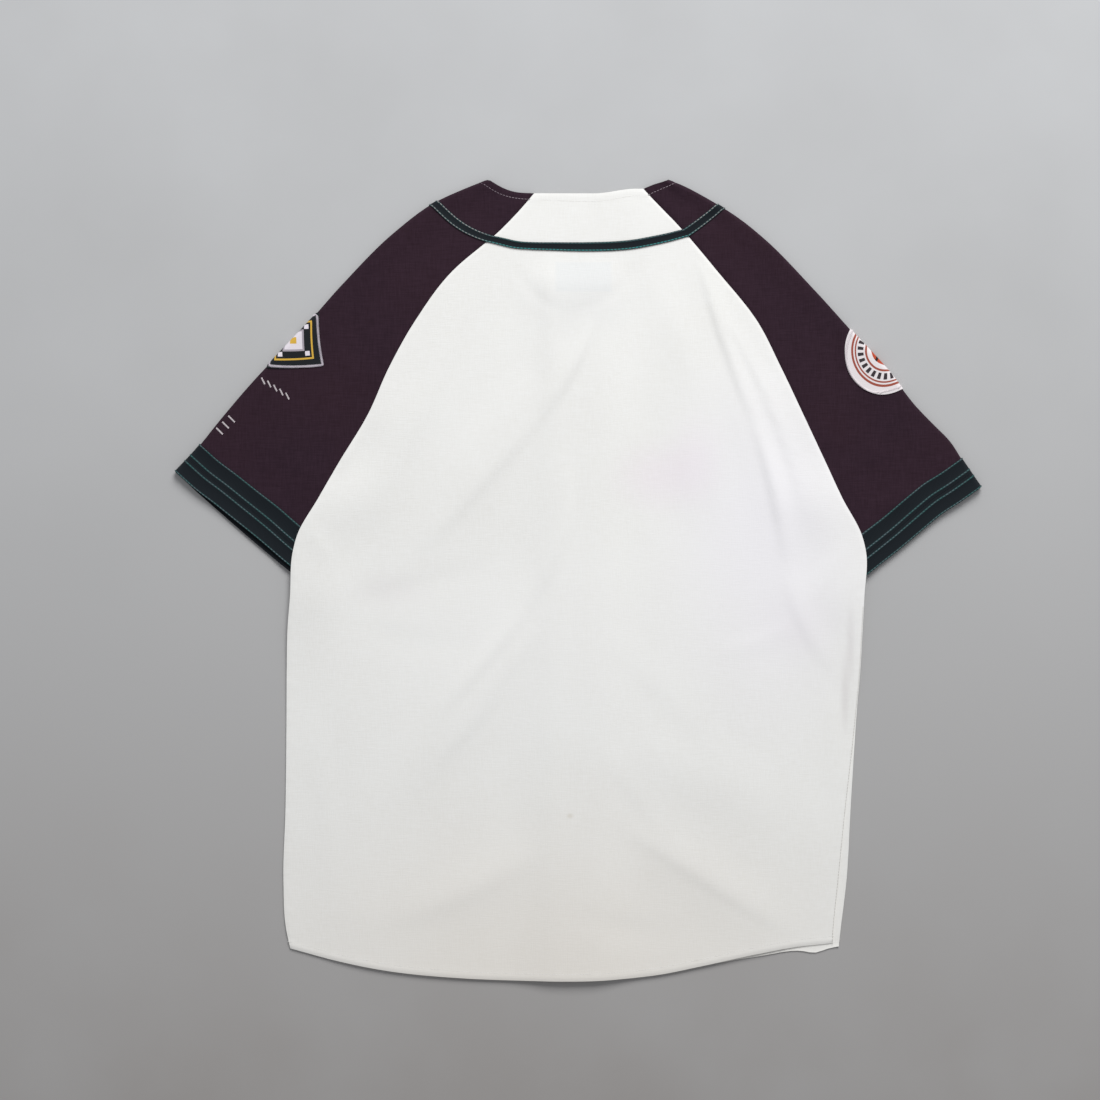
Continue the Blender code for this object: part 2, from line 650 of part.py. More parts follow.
# ---------------------------------------------------------------- objects
def clear_scene():
    for obj in list(bpy.data.objects):
        bpy.data.objects.remove(obj, do_unlink=True)


def material(name):
    found = bpy.data.materials.get(name)
    if found:
        return found
    finish = FINISHES[name]
    made = bpy.data.materials.new(name)
    made.use_nodes = True
    shader = made.node_tree.nodes["Principled BSDF"]
    shader.inputs["Base Color"].default_value = (*finish.colour, 1)
    shader.inputs["Roughness"].default_value = finish.roughness
    shader.inputs["Metallic"].default_value = 0
    return made


def add_object(name, mesh, finish):
    obj = bpy.data.objects.new(name, mesh)
    bpy.context.scene.collection.objects.link(obj)
    mesh.materials.append(material(finish))
    return obj


def add_sheet(name, grid, thickness, finish):
    """A wall round a grid of middle points, which may run either way."""
    rows, columns = grid.shape[:2]
    points = (grid.reshape(-1, 3) * MM).tolist()
    faces = []
    for i in range(rows - 1):
        for j in range(columns - 1):
            a, b = i * columns + j, i * columns + j + 1
            c, d = a + columns, b + columns
            faces += [(a, c, b), (b, c, d)]
    mesh = bpy.data.meshes.new(name)
    mesh.from_pydata(points, [], faces)
    mesh.shade_smooth()
    obj = add_object(name, mesh, finish)
    wall = obj.modifiers.new("Wall", "SOLIDIFY")
    wall.thickness = thickness * MM
    wall.offset = 0
    wall.use_even_offset = False
    wall.use_quality_normals = True
    return obj


def add_button(index, y):
    """A turned disc, face down on the ground under the placket."""
    mesh = bpy.data.meshes.new(f"button_{index}")
    shape = bmesh.new()
    bmesh.ops.create_cone(
        shape,
        cap_ends=True,
        segments=BUTTON_SIDES,
        radius1=BUTTON_RADIUS * MM,
        radius2=BUTTON_RADIUS * MM,
        depth=BUTTON_THICK * MM,
    )
    shape.to_mesh(mesh)
    shape.free()
    obj = add_object(f"button_{index}", mesh, "pearl_button")
    obj.location = (CENTRE_X * MM, y * MM, BUTTON_THICK / 2 * MM)
    edge = obj.modifiers.new("Edge", "BEVEL")
    edge.width = BUTTON_BEVEL * MM
    edge.segments = 1
    return obj


def placket_grid(panels):
    """A strip on the left front's outer face, along its centre edge."""
    edge = moved_out(panels, "front_left", LAYER)[:, -2:]
    run = np.linalg.norm(np.diff(edge[:, 0], axis=0), axis=1).sum()
    count = len(edge)
    lines = []
    for x in (CENTRE_X - PLACKET_HALF, CENTRE_X + PLACKET_HALF):
        line = at_distance(edge[:, 0], np.linspace(PLACKET_END, run - PLACKET_END, count))
        line[:, 0] = x
        line[:, 2] = BUTTON_THICK + GAP + WALL / 2
        lines.append(line)
    return np.array(lines).transpose(1, 0, 2)


def build():
    clear_scene()
    panels = {"back": back_grid()}
    for side in ("left", "right"):
        panels["front_" + side] = front_grid(side)
        panels["sleeve_" + side] = sleeve_grid(side)
    for name, grid in panels.items():
        cloth = "aubergine_cotton" if name.startswith("sleeve") else "cream_cotton"
        add_sheet(name, grid, WALL, cloth)
    add_sheet("placket", placket_grid(panels), WALL, "cream_cotton")
    add_sheet("neck_tape", neck_tape_grid(panels), TRIM, "black_braid")
    for side in ("left", "right"):
        cuff_up = moved_out(panels, "sleeve_" + side)[::-1]
        for place, (near, far) in CUFF_TAPES.items():
            tape = strip_along(cuff_up, near, far)
            add_sheet(f"cuff_tape_{side}_{place}", tape, TRIM, "black_braid")
    for name, badge in BADGES.items():
        finish = "felt_white" if badge.round else "felt_black"
        add_sheet(name, badge_grid(badge, panels), TRIM, finish)
    for index in range(BUTTON_COUNT):
        add_button(index + 1, BUTTON_TOP_Y - index * BUTTON_PITCH)


build()
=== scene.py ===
"""Looks of a short-sleeved raglan baseball jersey that lies face down and flat on a floor.

Sizes are in millimetres, in the frame's axes: +X to the right, +Y towards the neck, +Z up. Each
piece of cloth is a grid of points on the middle of its wall, rows from the neck to the hem. Short
tables give its outline and how it lies, creases, hems, seam valleys and puckers are added, and
Solidify gives it its thickness. Trim is made from the panels' points, moved out, and Geometry
Nodes lay the stitches.
"""

import logging
import math
from dataclasses import dataclass, field
from enum import Enum
from typing import NamedTuple

import bmesh
import bpy
import numpy as np
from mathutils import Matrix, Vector


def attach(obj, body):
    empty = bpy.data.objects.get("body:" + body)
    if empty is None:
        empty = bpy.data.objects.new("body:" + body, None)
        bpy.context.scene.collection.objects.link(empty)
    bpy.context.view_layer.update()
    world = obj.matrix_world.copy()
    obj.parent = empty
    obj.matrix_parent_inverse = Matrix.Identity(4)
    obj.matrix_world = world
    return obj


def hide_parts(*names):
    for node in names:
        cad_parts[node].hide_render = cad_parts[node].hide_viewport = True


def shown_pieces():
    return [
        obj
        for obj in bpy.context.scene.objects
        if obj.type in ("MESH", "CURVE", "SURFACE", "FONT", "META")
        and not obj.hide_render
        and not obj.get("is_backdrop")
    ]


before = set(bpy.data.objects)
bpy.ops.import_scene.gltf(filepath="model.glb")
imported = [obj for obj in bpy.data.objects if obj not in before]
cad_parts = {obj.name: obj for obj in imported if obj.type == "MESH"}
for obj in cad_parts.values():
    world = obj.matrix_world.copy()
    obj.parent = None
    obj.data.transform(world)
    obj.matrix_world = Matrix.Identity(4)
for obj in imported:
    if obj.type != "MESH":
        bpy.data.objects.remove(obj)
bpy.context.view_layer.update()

LOG = logging.getLogger("jersey")
Array, Thing, Material = np.ndarray, bpy.types.Object, bpy.types.Material
Tree, Socket = bpy.types.NodeTree, bpy.types.NodeSocket

MM = 0.001

# ---- walls and clearances ----
WALL = 1.1
FINE_WALL = 0.8  # what shows of the body's white cloth, on the middle of that wall
TRIM = 1.0  # room for the braids and badges that lie under cloth
GAP = 0.3
SEAM_INSET = 0.2
SEWN = 0.05  # sewn-on trim sits this close to the cloth that carries it
STITCH_OUT = 0.05  # a stitch's middle lies this far off what it is sewn to
BRAID_WALL, YARN_RISE = 0.9, 0.3
FELT_WALL = 0.9
SLEEVE_REST = GAP + TRIM
CENTRE_X = -8.0  # the fronts' centre line, which each front passes by the overlap
OVERLAP = 15.0
PLACKET_UNDER = 2.3  # the placket's underside, over the buttons
SLANT_ROWS, SLANT_PASSES, MIN_SINE = 13, 4, 0.7
BACK_REST = 2.9
NECK_SAG, NECK_SAG_REACH = 0.5, 62.0
NECK_CORNER_Y, CUFF_CORNER_Y, HEM_CORNER_Y = 386.5, 8.5, -367.5
TOP_POWER, HEM_POWER = 2, 6

# ---- where a grid's rows or columns stand close together, from an edge inwards ----
SEAM_OFFSETS = (0.0, 0.8, 1.8, 3.2, 5.0, 7.5, 10.5)
NECK_OFFSETS = (0.0, 1.0, 2.5, 4.5, 6.5, 8.0, 9.5, 12.0, 15.0)
HEM_OFFSETS = (0.0, 1.0, 2.5, 4.2, 5.8, 7.0, 8.2, 10.0, 12.5, 15.5, 19.5)


class Side(Enum):
    """The wearer's side, which is the picture's side too, because the back is uppermost."""

    LEFT = "left"
    RIGHT = "right"

    @property
    def sign(self) -> int:
        """-1 on the left, where x is low, and 1 on the right."""
        return -1 if self is Side.LEFT else 1


# ======== tables
def rows(kind: type, *values: tuple) -> tuple:
    """A table with one row of this kind for each tuple of values."""
    return tuple(kind(*row) for row in values)


class BodyRow(NamedTuple):
    """One height of the body: x of the back's edges and the front's, underside of the edge."""

    y: float
    left: float
    right: float
    front_right: float
    edge_z: float


BODY = rows(
    BodyRow,
    (392, -40, 64, 64, 3.6),
    (386.5, -44.5, 69, 69, 3.6),
    (351, -77, 103, 103, 3.6),
    (309, -126, 138.5, 138.5, 3.6),
    (261, -162.2, 177.2, 177.2, 3.6),
    (213, -189.3, 202.2, 202.2, 3.6),
    (165, -210.8, 224.8, 224.8, 4.6),
    (117, -239.8, 247.2, 247.2, 4.8),
    (82, -259.8, 263.2, 263.2, 7.2),
    (45, -280.8, 282.6, 282.6, 7.2),
    (30, -284.8, 286.4, 286.4, 7.2),
    (-16, -287.8, 285, 285, 7.2),
    (-48, -290.5, 283.5, 283.5, 4.9),
    (-88, -291.5, 281.5, 281.5, 3.0),
    (-150, -292, 276, 277, 1.7),
    (-230, -293, 267, 272, 1.5),
    (-300, -295, 260, 268, 1.5),
    (-350, -292, 255, 262, 1.5),
    (-368, -288, 254, 260, 1.5),
)


class HemPoint(NamedTuple):
    """Height of the hems at one x."""

    x: float
    back_y: float
    front_y: float


HEM = rows(
    HemPoint,
    (-288, -367.5, -366.5),
    (-243, -379.5, -378.5),
    (-193, -389.5, -388.5),
    (-118, -397.0, -396.0),
    (-43, -399.5, -398.5),
    (31, -398.5, -397.5),
    (81, -393.5, -393.0),
    (121, -385.5, -385.5),
    (181, -372.5, -375.5),
    (221, -365.5, -370.0),
    (238, -363.8, -371.8),
    (248, -362.8, -368.4),
    (260, -361.5, -365.6),
)


class NeckPoint(NamedTuple):
    """x of each front's neckline at one height."""

    y: float
    left: float
    right: float


NECKLINE = rows(
    NeckPoint,
    (350, -81, 106),
    (330, -80, 104),
    (310, -73, 94),
    (290, -56, 68),
    (276, -32, 28),
    (270, -8, 4),
    (268, 12, -20),
    (266, 120, -120),
)


class LiftPoint(NamedTuple):
    """How far the placket lifts each front, at a distance from the centre line."""

    distance: float
    left: float
    right: float


PLACKET_LIFT = rows(LiftPoint, (0, 3.7, 5.2), (18, 3.7, 5.2), (45, 1.6, 2.3), (75, 0, 0))


class SleeveRow(NamedTuple):
    """One section of a sleeve: its seam's height, its top fold, its lower layer's underside."""

    seam_y: float
    fold_x: float
    fold_y: float
    under_z: float


SLEEVES = {
    Side.LEFT: rows(
        SleeveRow,
        (386.5, -91, 399.5, 1.3),
        (368, -114, 390.5, 1.3),
        (340, -148, 374.5, 1.3),
        (308, -185, 346.5, 1.3),
        (256, -235, 296.5, 1.3),
        (212, -267, 260.5, 1.3),
        (164, -301, 224.5, 1.5),
        (116, -334, 188.5, 1.5),
        (80, -360, 157.5, 2.8),
        (49, -378, 135.0, 2.8),
        (-0.5, -402.5, 108.5, 2.8),
    ),
    Side.RIGHT: rows(
        SleeveRow,
        (391, 89, 399.5, 1.3),
        (368, 111, 390.5, 1.3),
        (348, 143, 372.5, 1.3),
        (308, 186, 340.5, 1.3),
        (260, 235, 290.5, 1.3),
        (212, 273, 248.5, 1.3),
        (164, 309, 209.5, 1.5),
        (116, 339, 171.5, 1.5),
        (98, 353, 157.0, 2.8),
        (74, 369, 141.0, 2.8),
        (40, 382.5, 121.0, 2.8),
        (-10.5, 402, 92.5, 2.8),
    ),
}


class HemWave(NamedTuple):
    """How far each layer of a cuff draws back from a straight hem, from the fold to the seam."""

    share: float
    left_upper: float
    left_lower: float
    right_upper: float
    right_lower: float


HEM_WAVE = rows(
    HemWave,
    (0, 0, 0, 0, 0),
    (0.15, -0.4, -1.4, 1.4, 1.5),
    (0.28, 0.9, -1.7, 3.2, 3.5),
    (0.40, 1.6, -1.9, 2.8, 3.1),
    (0.64, 2.9, -2.0, 1.8, 2.0),
    (0.80, 3.0, -1.6, 2.0, 2.2),
    (0.92, 3.5, -0.8, 2.0, 2.2),
    (1.0, 4.2, 0, 2.0, 2.2),
)


class TapePoint(NamedTuple):
    """A point on the neck braid's middle line across the back."""

    x: float
    y: float


NECK_LINE = rows(
    TapePoint,
    (-88, 341.0),
    (-78, 338.6),
    (-62, 335.0),
    (-47, 334.0),
    (-24, 333.5),
    (10, 333.2),
    (37, 334.0),
    (52, 335.3),
    (75, 339.3),
    (91, 342.8),
    (106, 346.8),
)


class Crease(NamedTuple):
    """A soft line a-b-c on a panel, its rise or dip, half width, and how far it leans over."""

    ax: float
    ay: float
    bx: float
    by: float
    cx: float
    cy: float
    rise: float
    half: float
    lean: float = 0.0


LARGE_FOLDS = rows(
    Crease,
    (4, 262, -60, 165, -165, 25, 2.4, 24),
    (-6, 110, -30, -40, -205, -240, 2.1, 26),
    (45, -245, 110, -285, 210, -352, 1.6, 26),
    (22, -250, -60, -290, -228, -350, 1.4, 28),
    (150, 226, 184, 150, 207, 20, 2.0, 20),
    (86, 320, 98, 250, 122, 170, 1.5, 20),
    (207, 20, 226, -50, 268, -125, 1.6, 18),
    (-128, 315, -140, 190, -223, 50, 1.7, 22),
    (40, 190, 90, 120, 120, 10, -1.0, 30),
    (-60, -140, 90, -175, 250, -250, 1.5, 32),
)
BACK_CREASES = rows(
    Crease,
    (14, 262, 2, 214, -36, 164, 2.0, 9, 0.5),
    (-30, 172, -84, 110, -160, 26, 1.0, 9, 0.4),
    (-8, 112, -4, 40, -52, -30, 1.3, 8, 0.5),
    (-50, -28, -92, -80, -138, -134, 1.1, 8, 0.45),
    (-36, -46, -84, -102, -150, -200, 0.7, 9, 0.4),
    (-68, -98, -96, -140, -130, -172, 0.5, 6, 0.3),
    (50, -250, 118, -296, 208, -350, 0.85, 12, -0.5),
    (20, -165, 60, -215, 92, -262, 0.5, 14, -0.4),
    (-40, -270, -110, -318, -190, -340, 0.7, 14, 0.3),
    (122, 316, 142, 240, 176, 154, 2.0, 8, -0.5),
    (174, 160, 198, 95, 207, 18, 2.4, 8, -0.4),
    (146, 262, 194, 190, 226, 70, 1.1, 8, -0.4),
    (207, 12, 212, -36, 254, -92, 0.9, 10, -0.5),
    (132, -72, 180, -66, 216, -42, 0.4, 9, 0.2),
    (276, -22, 278, -70, 269, -130, 1.3, 7, -0.4),
    (250, -110, 262, -150, 254, -210, 0.6, 8, 0.3),
    (-222, 142, -230, 126, -234, 108, 0.8, 6, 0.4),
    (-200, 158, -214, 132, -224, 96, -0.6, 7, 0.0),
    (-272, 64, -262, 40, -246, 18, 0.5, 8, 0.3),
    (-222, -20, -190, -12, -80, 16, -0.45, 13, 0.2),
    (270, 36, 250, 10, 232, -24, 0.5, 9, 0.2),
    (-30, 330, -34, 262, -22, 214, 0.3, 9, 0.0),
    (-64, 314, -44, 276, -14, 268, -0.45, 6, 0.0),
    (-10, 268, 34, 274, 66, 320, -0.45, 6, 0.0),
    (104, 160, 118, 92, 108, 24, 0.4, 14, 0.2),
    (-230, -40, -170, -70, -100, -62, -0.4, 15, 0.2),
    (30, -60, 96, -110, 150, -190, 0.45, 16, -0.2),
    (-262, -150, -244, -230, -250, -310, 0.5, 12, 0.1),
    (-8, -330, 40, -352, 110, -356, -0.4, 14, 0.2),
    (-112, 300, -128, 210, -196, 92, 0.7, 12, 0.3),
    (232, -210, 240, -280, 236, -340, 0.4, 10, -0.2),
)
FRONT_CREASES = rows(
    Crease,
    (-240, 70, -200, 10, -130, -20, 0.8, 12, 0.3),
    (-250, -60, -190, -130, -110, -170, 0.7, 14, -0.3),
    (-180, 190, -150, 120, -100, 60, 0.6, 12, 0.2),
    (-230, -250, -160, -300, -90, -330, 0.6, 13, 0.3),
    (240, 66, 190, 20, 120, -6, 0.8, 12, -0.3),
    (236, -90, 170, -160, 90, -200, 0.7, 14, 0.3),
    (170, 200, 140, 130, 96, 80, 0.6, 12, -0.2),
    (226, -260, 170, -310, 100, -330, 0.5, 12, 0.2),
)
SLEEVE_CREASES = rows(
    Crease,
    (-286, 66, -312, 82, -344, 96, 0.8, 8, 0.3),
    (-262, 106, -290, 126, -326, 138, 0.7, 9, 0.2),
    (-216, 190, -236, 214, -250, 246, 0.6, 9, 0.2),
    (-120, 352, -150, 336, -176, 318, -0.5, 8, 0.2),
    (-66, 386, -80, 378, -92, 366, -0.3, 6, 0.0),
    (286, 66, 312, 78, 346, 84, 0.8, 8, -0.3),
    (262, 108, 292, 124, 322, 130, 0.7, 9, -0.2),
    (150, 330, 178, 300, 206, 262, -0.7, 11, -0.3),
    (226, 186, 246, 206, 262, 236, 0.6, 9, -0.2),
    (84, 388, 96, 378, 112, 366, -0.3, 6, 0.0),
)


# ======== curves
def column(table: tuple, name: str) -> Array:
    """One named column of a table as numbers."""
    return np.array([getattr(row, name) for row in table], float)


def smooth(t: Array | float) -> Array:
    """0 below 0, 1 above 1, with level ends."""
    t = np.clip(t, 0, 1)
    return t * t * (3 - 2 * t)


def through(x: Array | float, xs: Array, ys: Array) -> Array:
    """A cubic curve through given points.

    Args:
        x: Where to read the curve.
        xs: The points' places, rising or falling.
        ys: The points' values.

    Returns:
        The curve's values at x.
    """
    xs, ys, x = (np.asarray(v, float) for v in (xs, ys, x))
    if xs[0] > xs[-1]:
        xs, ys = xs[::-1], ys[::-1]
    slopes = np.gradient(ys, xs)
    x = np.clip(x, xs[0], xs[-1])
    i = np.clip(np.searchsorted(xs, x) - 1, 0, len(xs) - 2)
    step = xs[i + 1] - xs[i]
    t = (x - xs[i]) / step
    rise = ys[i] + (ys[i + 1] - ys[i]) * t * t * (3 - 2 * t)
    return rise + step * (slopes[i] * t * (1 - t) ** 2 - slopes[i + 1] * t * t * (1 - t))


def read(table: tuple, key: str, name: str, at: Array | float) -> Array:
    """Reads a table's column as a curve.

    Args:
        table: The table.
        key: Name of the column that at belongs to.
        name: Name of the column to read.
        at: Where to read it.

    Returns:
        The column's values there.
    """
    return through(at, column(table, key), column(table, name))


def pitched(length: float, pitch: float, start: tuple, end: tuple) -> Array:
    """Distances from 0 to length, close together at the ends and even between them.

    Args:
        length: The last distance.
        pitch: Spacing in the even part.
        start: Offsets from 0, the first of them 0.
        end: Offsets back from length, the first of them 0.

    Returns:
        The rising distances.
    """
    inner = length - start[-1] - end[-1]
    steps = max(2, round(inner / pitch))
    middle = start[-1] + inner * np.arange(1, steps) / steps
    return np.concatenate([start, middle, length - np.array(end)[::-1]])


def uneven(along: Array) -> Array:
    """A wave from about -1 to 1 whose humps differ in length and height."""
    lengths, sizes = (7.3, 11.9, 18.7, 29.0), (0.3, 0.35, 0.25, 0.2)
    return sum(
        size * np.sin(2 * math.pi * along / length + 5 * size * length)
        for length, size in zip(lengths, sizes)
    )


def at_distance(line: Array, distances: Array) -> Array:
    """Points at these distances along a line of points.

    Args:
        line: Points, one a row.
        distances: Distances from the line's first point.

    Returns:
        One point for each distance.
    """
    steps = np.linalg.norm(np.diff(line, axis=0), axis=1)
    run = np.concatenate([[0], np.cumsum(steps)])
    return np.stack([np.interp(distances, run, line[:, k]) for k in range(3)], axis=-1)


def run_along(grid: Array, axis: int) -> Array:
    """Distance of each point of a grid from where its line starts.

    Args:
        grid: Points, rows by columns.
        axis: 0 to run down the columns, 1 to run along the rows.

    Returns:
        One distance for each point.
    """
    steps = np.linalg.norm(np.diff(grid, axis=axis), axis=-1)
    pad = [(0, 0), (0, 0)]
    pad[axis] = (1, 0)
    return np.pad(np.cumsum(steps, axis=axis), pad)


CREASE_STEPS = 41  # places at which a crease's line is read
CREASE_START = 0.03  # how far into a half wave its ends lie
CREASE_BLUNTNESS = 0.85  # under 1, so that it keeps its height for longer
CREASE_REACH = 4  # half widths from its line at which it has died away


def crease_heights(creases: tuple, x: Array, y: Array) -> Array:
    """The height that soft creases add at each point.

    Args:
        creases: Rows of the crease tables.
        x: Places across.
        y: Places along.

    Returns:
        Heights in the shape of x.
    """
    total = np.zeros_like(x)
    steps = np.linspace(0, 1, CREASE_STEPS)
    wave = np.sin(np.pi * (CREASE_START + steps * (1 - 2 * CREASE_START))) ** CREASE_BLUNTNESS
    for c in creases:
        px = (1 - steps) ** 2 * c.ax + 2 * steps * (1 - steps) * c.bx + steps**2 * c.cx
        py = (1 - steps) ** 2 * c.ay + 2 * steps * (1 - steps) * c.by + steps**2 * c.cy
        reach = CREASE_REACH * c.half + np.hypot(c.ax - c.cx, c.ay - c.cy)
        near = np.hypot(x - c.bx, y - c.by) < reach
        dx, dy = x[near][..., None] - px, y[near][..., None] - py
        apart = np.hypot(dx, dy)
        found = apart.argmin(axis=-1)[..., None]
        away = np.take_along_axis(apart, found, -1)[..., 0]
        across = (c.cy - c.ay) * np.take_along_axis(dx, found, -1)[..., 0]
        across -= (c.cx - c.ax) * np.take_along_axis(dy, found, -1)[..., 0]
        half = c.half * (1 + c.lean * np.sign(across))
        total[near] += c.rise * wave[found[..., 0]] * np.exp(-((away / half) ** 2))
    return total


def softened(heights: Array, passes: int) -> Array:
    """Evens out the heights of a grid, with its corners as they were.

    Args:
        heights: One height for each point.
        passes: How many times each is drawn towards those beside it.

    Returns:
        The new heights.
    """
    height = heights.copy()
    for _ in range(passes):
        height[1:-1] = (height[:-2] + 2 * height[1:-1] + height[2:]) / 4
        height[:, 1:-1] = (height[:, :-2] + 2 * height[:, 1:-1] + height[:, 2:]) / 4
    return height


# ======== the body's cut and lie
@dataclass(frozen=True)
class BodyCut:
    """Outline of the body and the heights at which its layers lie."""

    front_drop: float = 41.0  # how much lower the front's raglan seam starts than the back's
    front_blend: float = 167.0  # height over which the two seams come together
    tilt: float = 4.5  # how much higher the neck edge's right end is
    tilt_from: float = 15.0
    tilt_over: float = 45.0
    neck_centre_y: float = 270.0
    neck_lift: tuple = (88.0, 120.0)  # from the neck edge: full lift up to here, none from here
    raglan_reach: float = 60.0
    raglan_ends: tuple = (205.0, 165.0)  # heights between which the raglan's lift dies away
    plateau: float = 15.0  # width of the back's rim that lies as high as its edge
    fade: float = 62.0
    cover_reach: float = 11.0
    cover_gap: float = 0.4

    def edge(self, name: str, y: Array | float) -> Array:
        """x of a named edge, or its underside's height, at height y of the picture."""
        return read(BODY, "y", name, y)

    def slope(self, name: str, y: Array | float) -> Array:
        """How fast an edge's x changes with y."""
        return (self.edge(name, y + 1) - self.edge(name, y - 1)) / 2

    def edge_distance(self, x: Array, y: Array, right: str = "right") -> Array:
        """How far inside the panel's side edges a point lies, square to the edge."""
        found = [
            sign * (x - self.edge(name, y)) / np.hypot(1, self.slope(name, y))
            for name, sign in (("left", 1), (right, -1))
        ]
        return np.minimum(*found)

    def run_down(self, y: Array) -> Array:
        """Share of the way from the neck corner to the hem corner."""
        return (NECK_CORNER_Y - y) / (NECK_CORNER_Y - HEM_CORNER_Y)

    def front_level(self, y: Array | float) -> Array:
        """Where a row that meets the back's seam at y meets the front's."""
        return y - self.front_drop * (1 - smooth((NECK_CORNER_Y - y) / self.front_blend))

    def row_heights(self, stations: Array, top: float, start: Array, hem: float) -> Array:
        """Heights of one column's rows.

        Args:
            stations: The rows' heights at the left edge.
            top: Height of the column's first row.
            start: The rows' heights at the panel's own edge.
            hem: Height of the column's last row.

        Returns:
            One height for each row.
        """
        r = self.run_down(stations)
        rise = (top - start[0]) * (1 - r) ** TOP_POWER
        return start + rise + (hem - HEM_CORNER_Y) * r**HEM_POWER

    def neck_tilt(self, x: Array | float) -> Array:
        """How much higher the back's neck edge is at x than at the left corner."""
        return self.tilt * smooth((x - self.tilt_from) / self.tilt_over)

    def hem(self, x: Array | float, name: str) -> Array:
        """Height of a hem at x."""
        return read(HEM, "x", name, x)

    def placket_lift(self, x: Array, name: str) -> Array:
        """How far the placket lifts a front at x."""
        away = np.abs(x - CENTRE_X)
        return np.interp(away, column(PLACKET_LIFT, "distance"), column(PLACKET_LIFT, name))

    def raglan_lift(self, x: Array, y: Array) -> Array:
        """How far the sleeve's seam, which lies on its trim, lifts a front."""
        start, gone = self.raglan_ends
        near = 1 - smooth(self.edge_distance(x, y, "front_right") / self.raglan_reach)
        return SLEEVE_REST * near * (1 - smooth((start - y) / (start - gone)))

    def front_underside(self, x: Array, y: Array, from_neck: Array, name: str) -> Array:
        """Underside of a front: flat on the floor, raised at its neck, seam and placket."""
        full, gone = self.neck_lift
        neck = SLEEVE_REST * (1 - smooth((from_neck - full) / (gone - full)))
        return np.maximum.reduce([neck, self.raglan_lift(x, y), self.placket_lift(x, name)])

    def cover(self, x: Array, y: Array) -> Array:
        """Height that the back has to clear near each point.

        Args:
            x: Places across.
            y: Places along.

        Returns:
            Heights in the shape of x.
        """
        reach = (-self.cover_reach, 0, self.cover_reach)
        tops = []
        for px in (x + d for d in reach):
            right = px > CENTRE_X - OVERLAP
            lift = np.where(right, self.placket_lift(px, "right"), self.placket_lift(px, "left"))
            tops += [np.maximum(lift, self.raglan_lift(px, y + d)) for d in reach]
        return np.maximum.reduce(tops) + WALL + self.cover_gap

    def in_neck_opening(self, x: Array, y: Array) -> Array:
        """0 over the fronts, 1 well inside the opening above their neckline."""
        real = tuple(row for row in NECKLINE if row.y >= self.neck_centre_y)
        line_x = np.concatenate([column(real, "left"), column(real, "right")[::-1]])
        line_y = np.concatenate([column(real, "y"), column(real, "y")[::-1]])
        beside = (x < line_x[0]) | (x > line_x[-1])
        line = np.where(beside, NECK_CORNER_Y, np.interp(x, line_x, line_y))
        return smooth((y - line - self.cover_reach) / NECK_SAG_REACH)

    def back_underside(self, x: Array, y: Array) -> Array:
        """Underside of the back over the fronts and the sleeves' edges."""
        opening = self.in_neck_opening(x, y)
        rest = BACK_REST - NECK_SAG * opening + crease_heights(LARGE_FOLDS, x, y)
        inner = np.maximum(rest, self.cover(x, y) * (1 - opening))
        near = 1 - smooth((self.edge_distance(x, y) - self.plateau) / self.fade)
        return inner + (self.edge("edge_z", y) - inner) * near


CUT = BodyCut()


# ======== finishes
def linear(colour: str) -> tuple[float, float, float, float]:
    """An sRGB hex colour, such as "#E8E6E1", as linear RGBA."""
    parts = (int(colour[i : i + 2], 16) / 255 for i in (1, 3, 5))
    rgb = [c / 12.92 if c <= 0.04045 else ((c + 0.055) / 1.055) ** 2.4 for c in parts]
    return (*rgb, 1.0)


def add(tree: Tree, kind: str, inputs: dict | None = None, **settings) -> bpy.types.Node:
    """Adds a node.

    Args:
        tree: The node tree.
        kind: The node's type name.
        inputs: Socket name or index to a value, or to the output socket that feeds it.
        **settings: The node's own properties.

    Returns:
        The node.
    """
    node = tree.nodes.new(kind)
    for name, value in settings.items():
        setattr(node, name, value)
    for key, value in (inputs or {}).items():
        if isinstance(value, Socket):
            tree.links.new(value, node.inputs[key])
        else:
            node.inputs[key].default_value = value
    return node


# ---- kinds of node that come often ----
MATH, VECTOR = "ShaderNodeMath", "ShaderNodeVectorMath"
RAMP, NOISE = "ShaderNodeMapRange", "ShaderNodeTexNoise"
SPLIT, COORDS, OWN_MAP = "ShaderNodeSeparateXYZ", "ShaderNodeTexCoord", "ShaderNodeUVMap"


def blend_colours(tree: Tree, layers: list) -> Socket:
    """Lays colours over each other.

    Args:
        tree: The material's node tree.
        layers: The ground colour, then (mask socket or number, colour) for each layer over it.

    Returns:
        The socket with the result.
    """
    result = layers[0]
    for mask, colour in layers[1:]:
        mixed = add(tree, "ShaderNodeMix", {0: mask, 6: result, 7: colour}, data_type="RGBA")
        result = mixed.outputs[2]
    return result


class Ramp(NamedTuple):
    """How a value becomes a mask: nothing up to low, and its full strength from high on."""

    low: float
    high: float
    strength: float = 1.0

    def inputs(self, value: Socket) -> dict:
        """What a Map Range node is given, so that it reads value by this ramp."""
        return {0: value, 1: self.low, 2: self.high, 3: 0.0, 4: self.strength}


SHADER = "Principled BSDF"


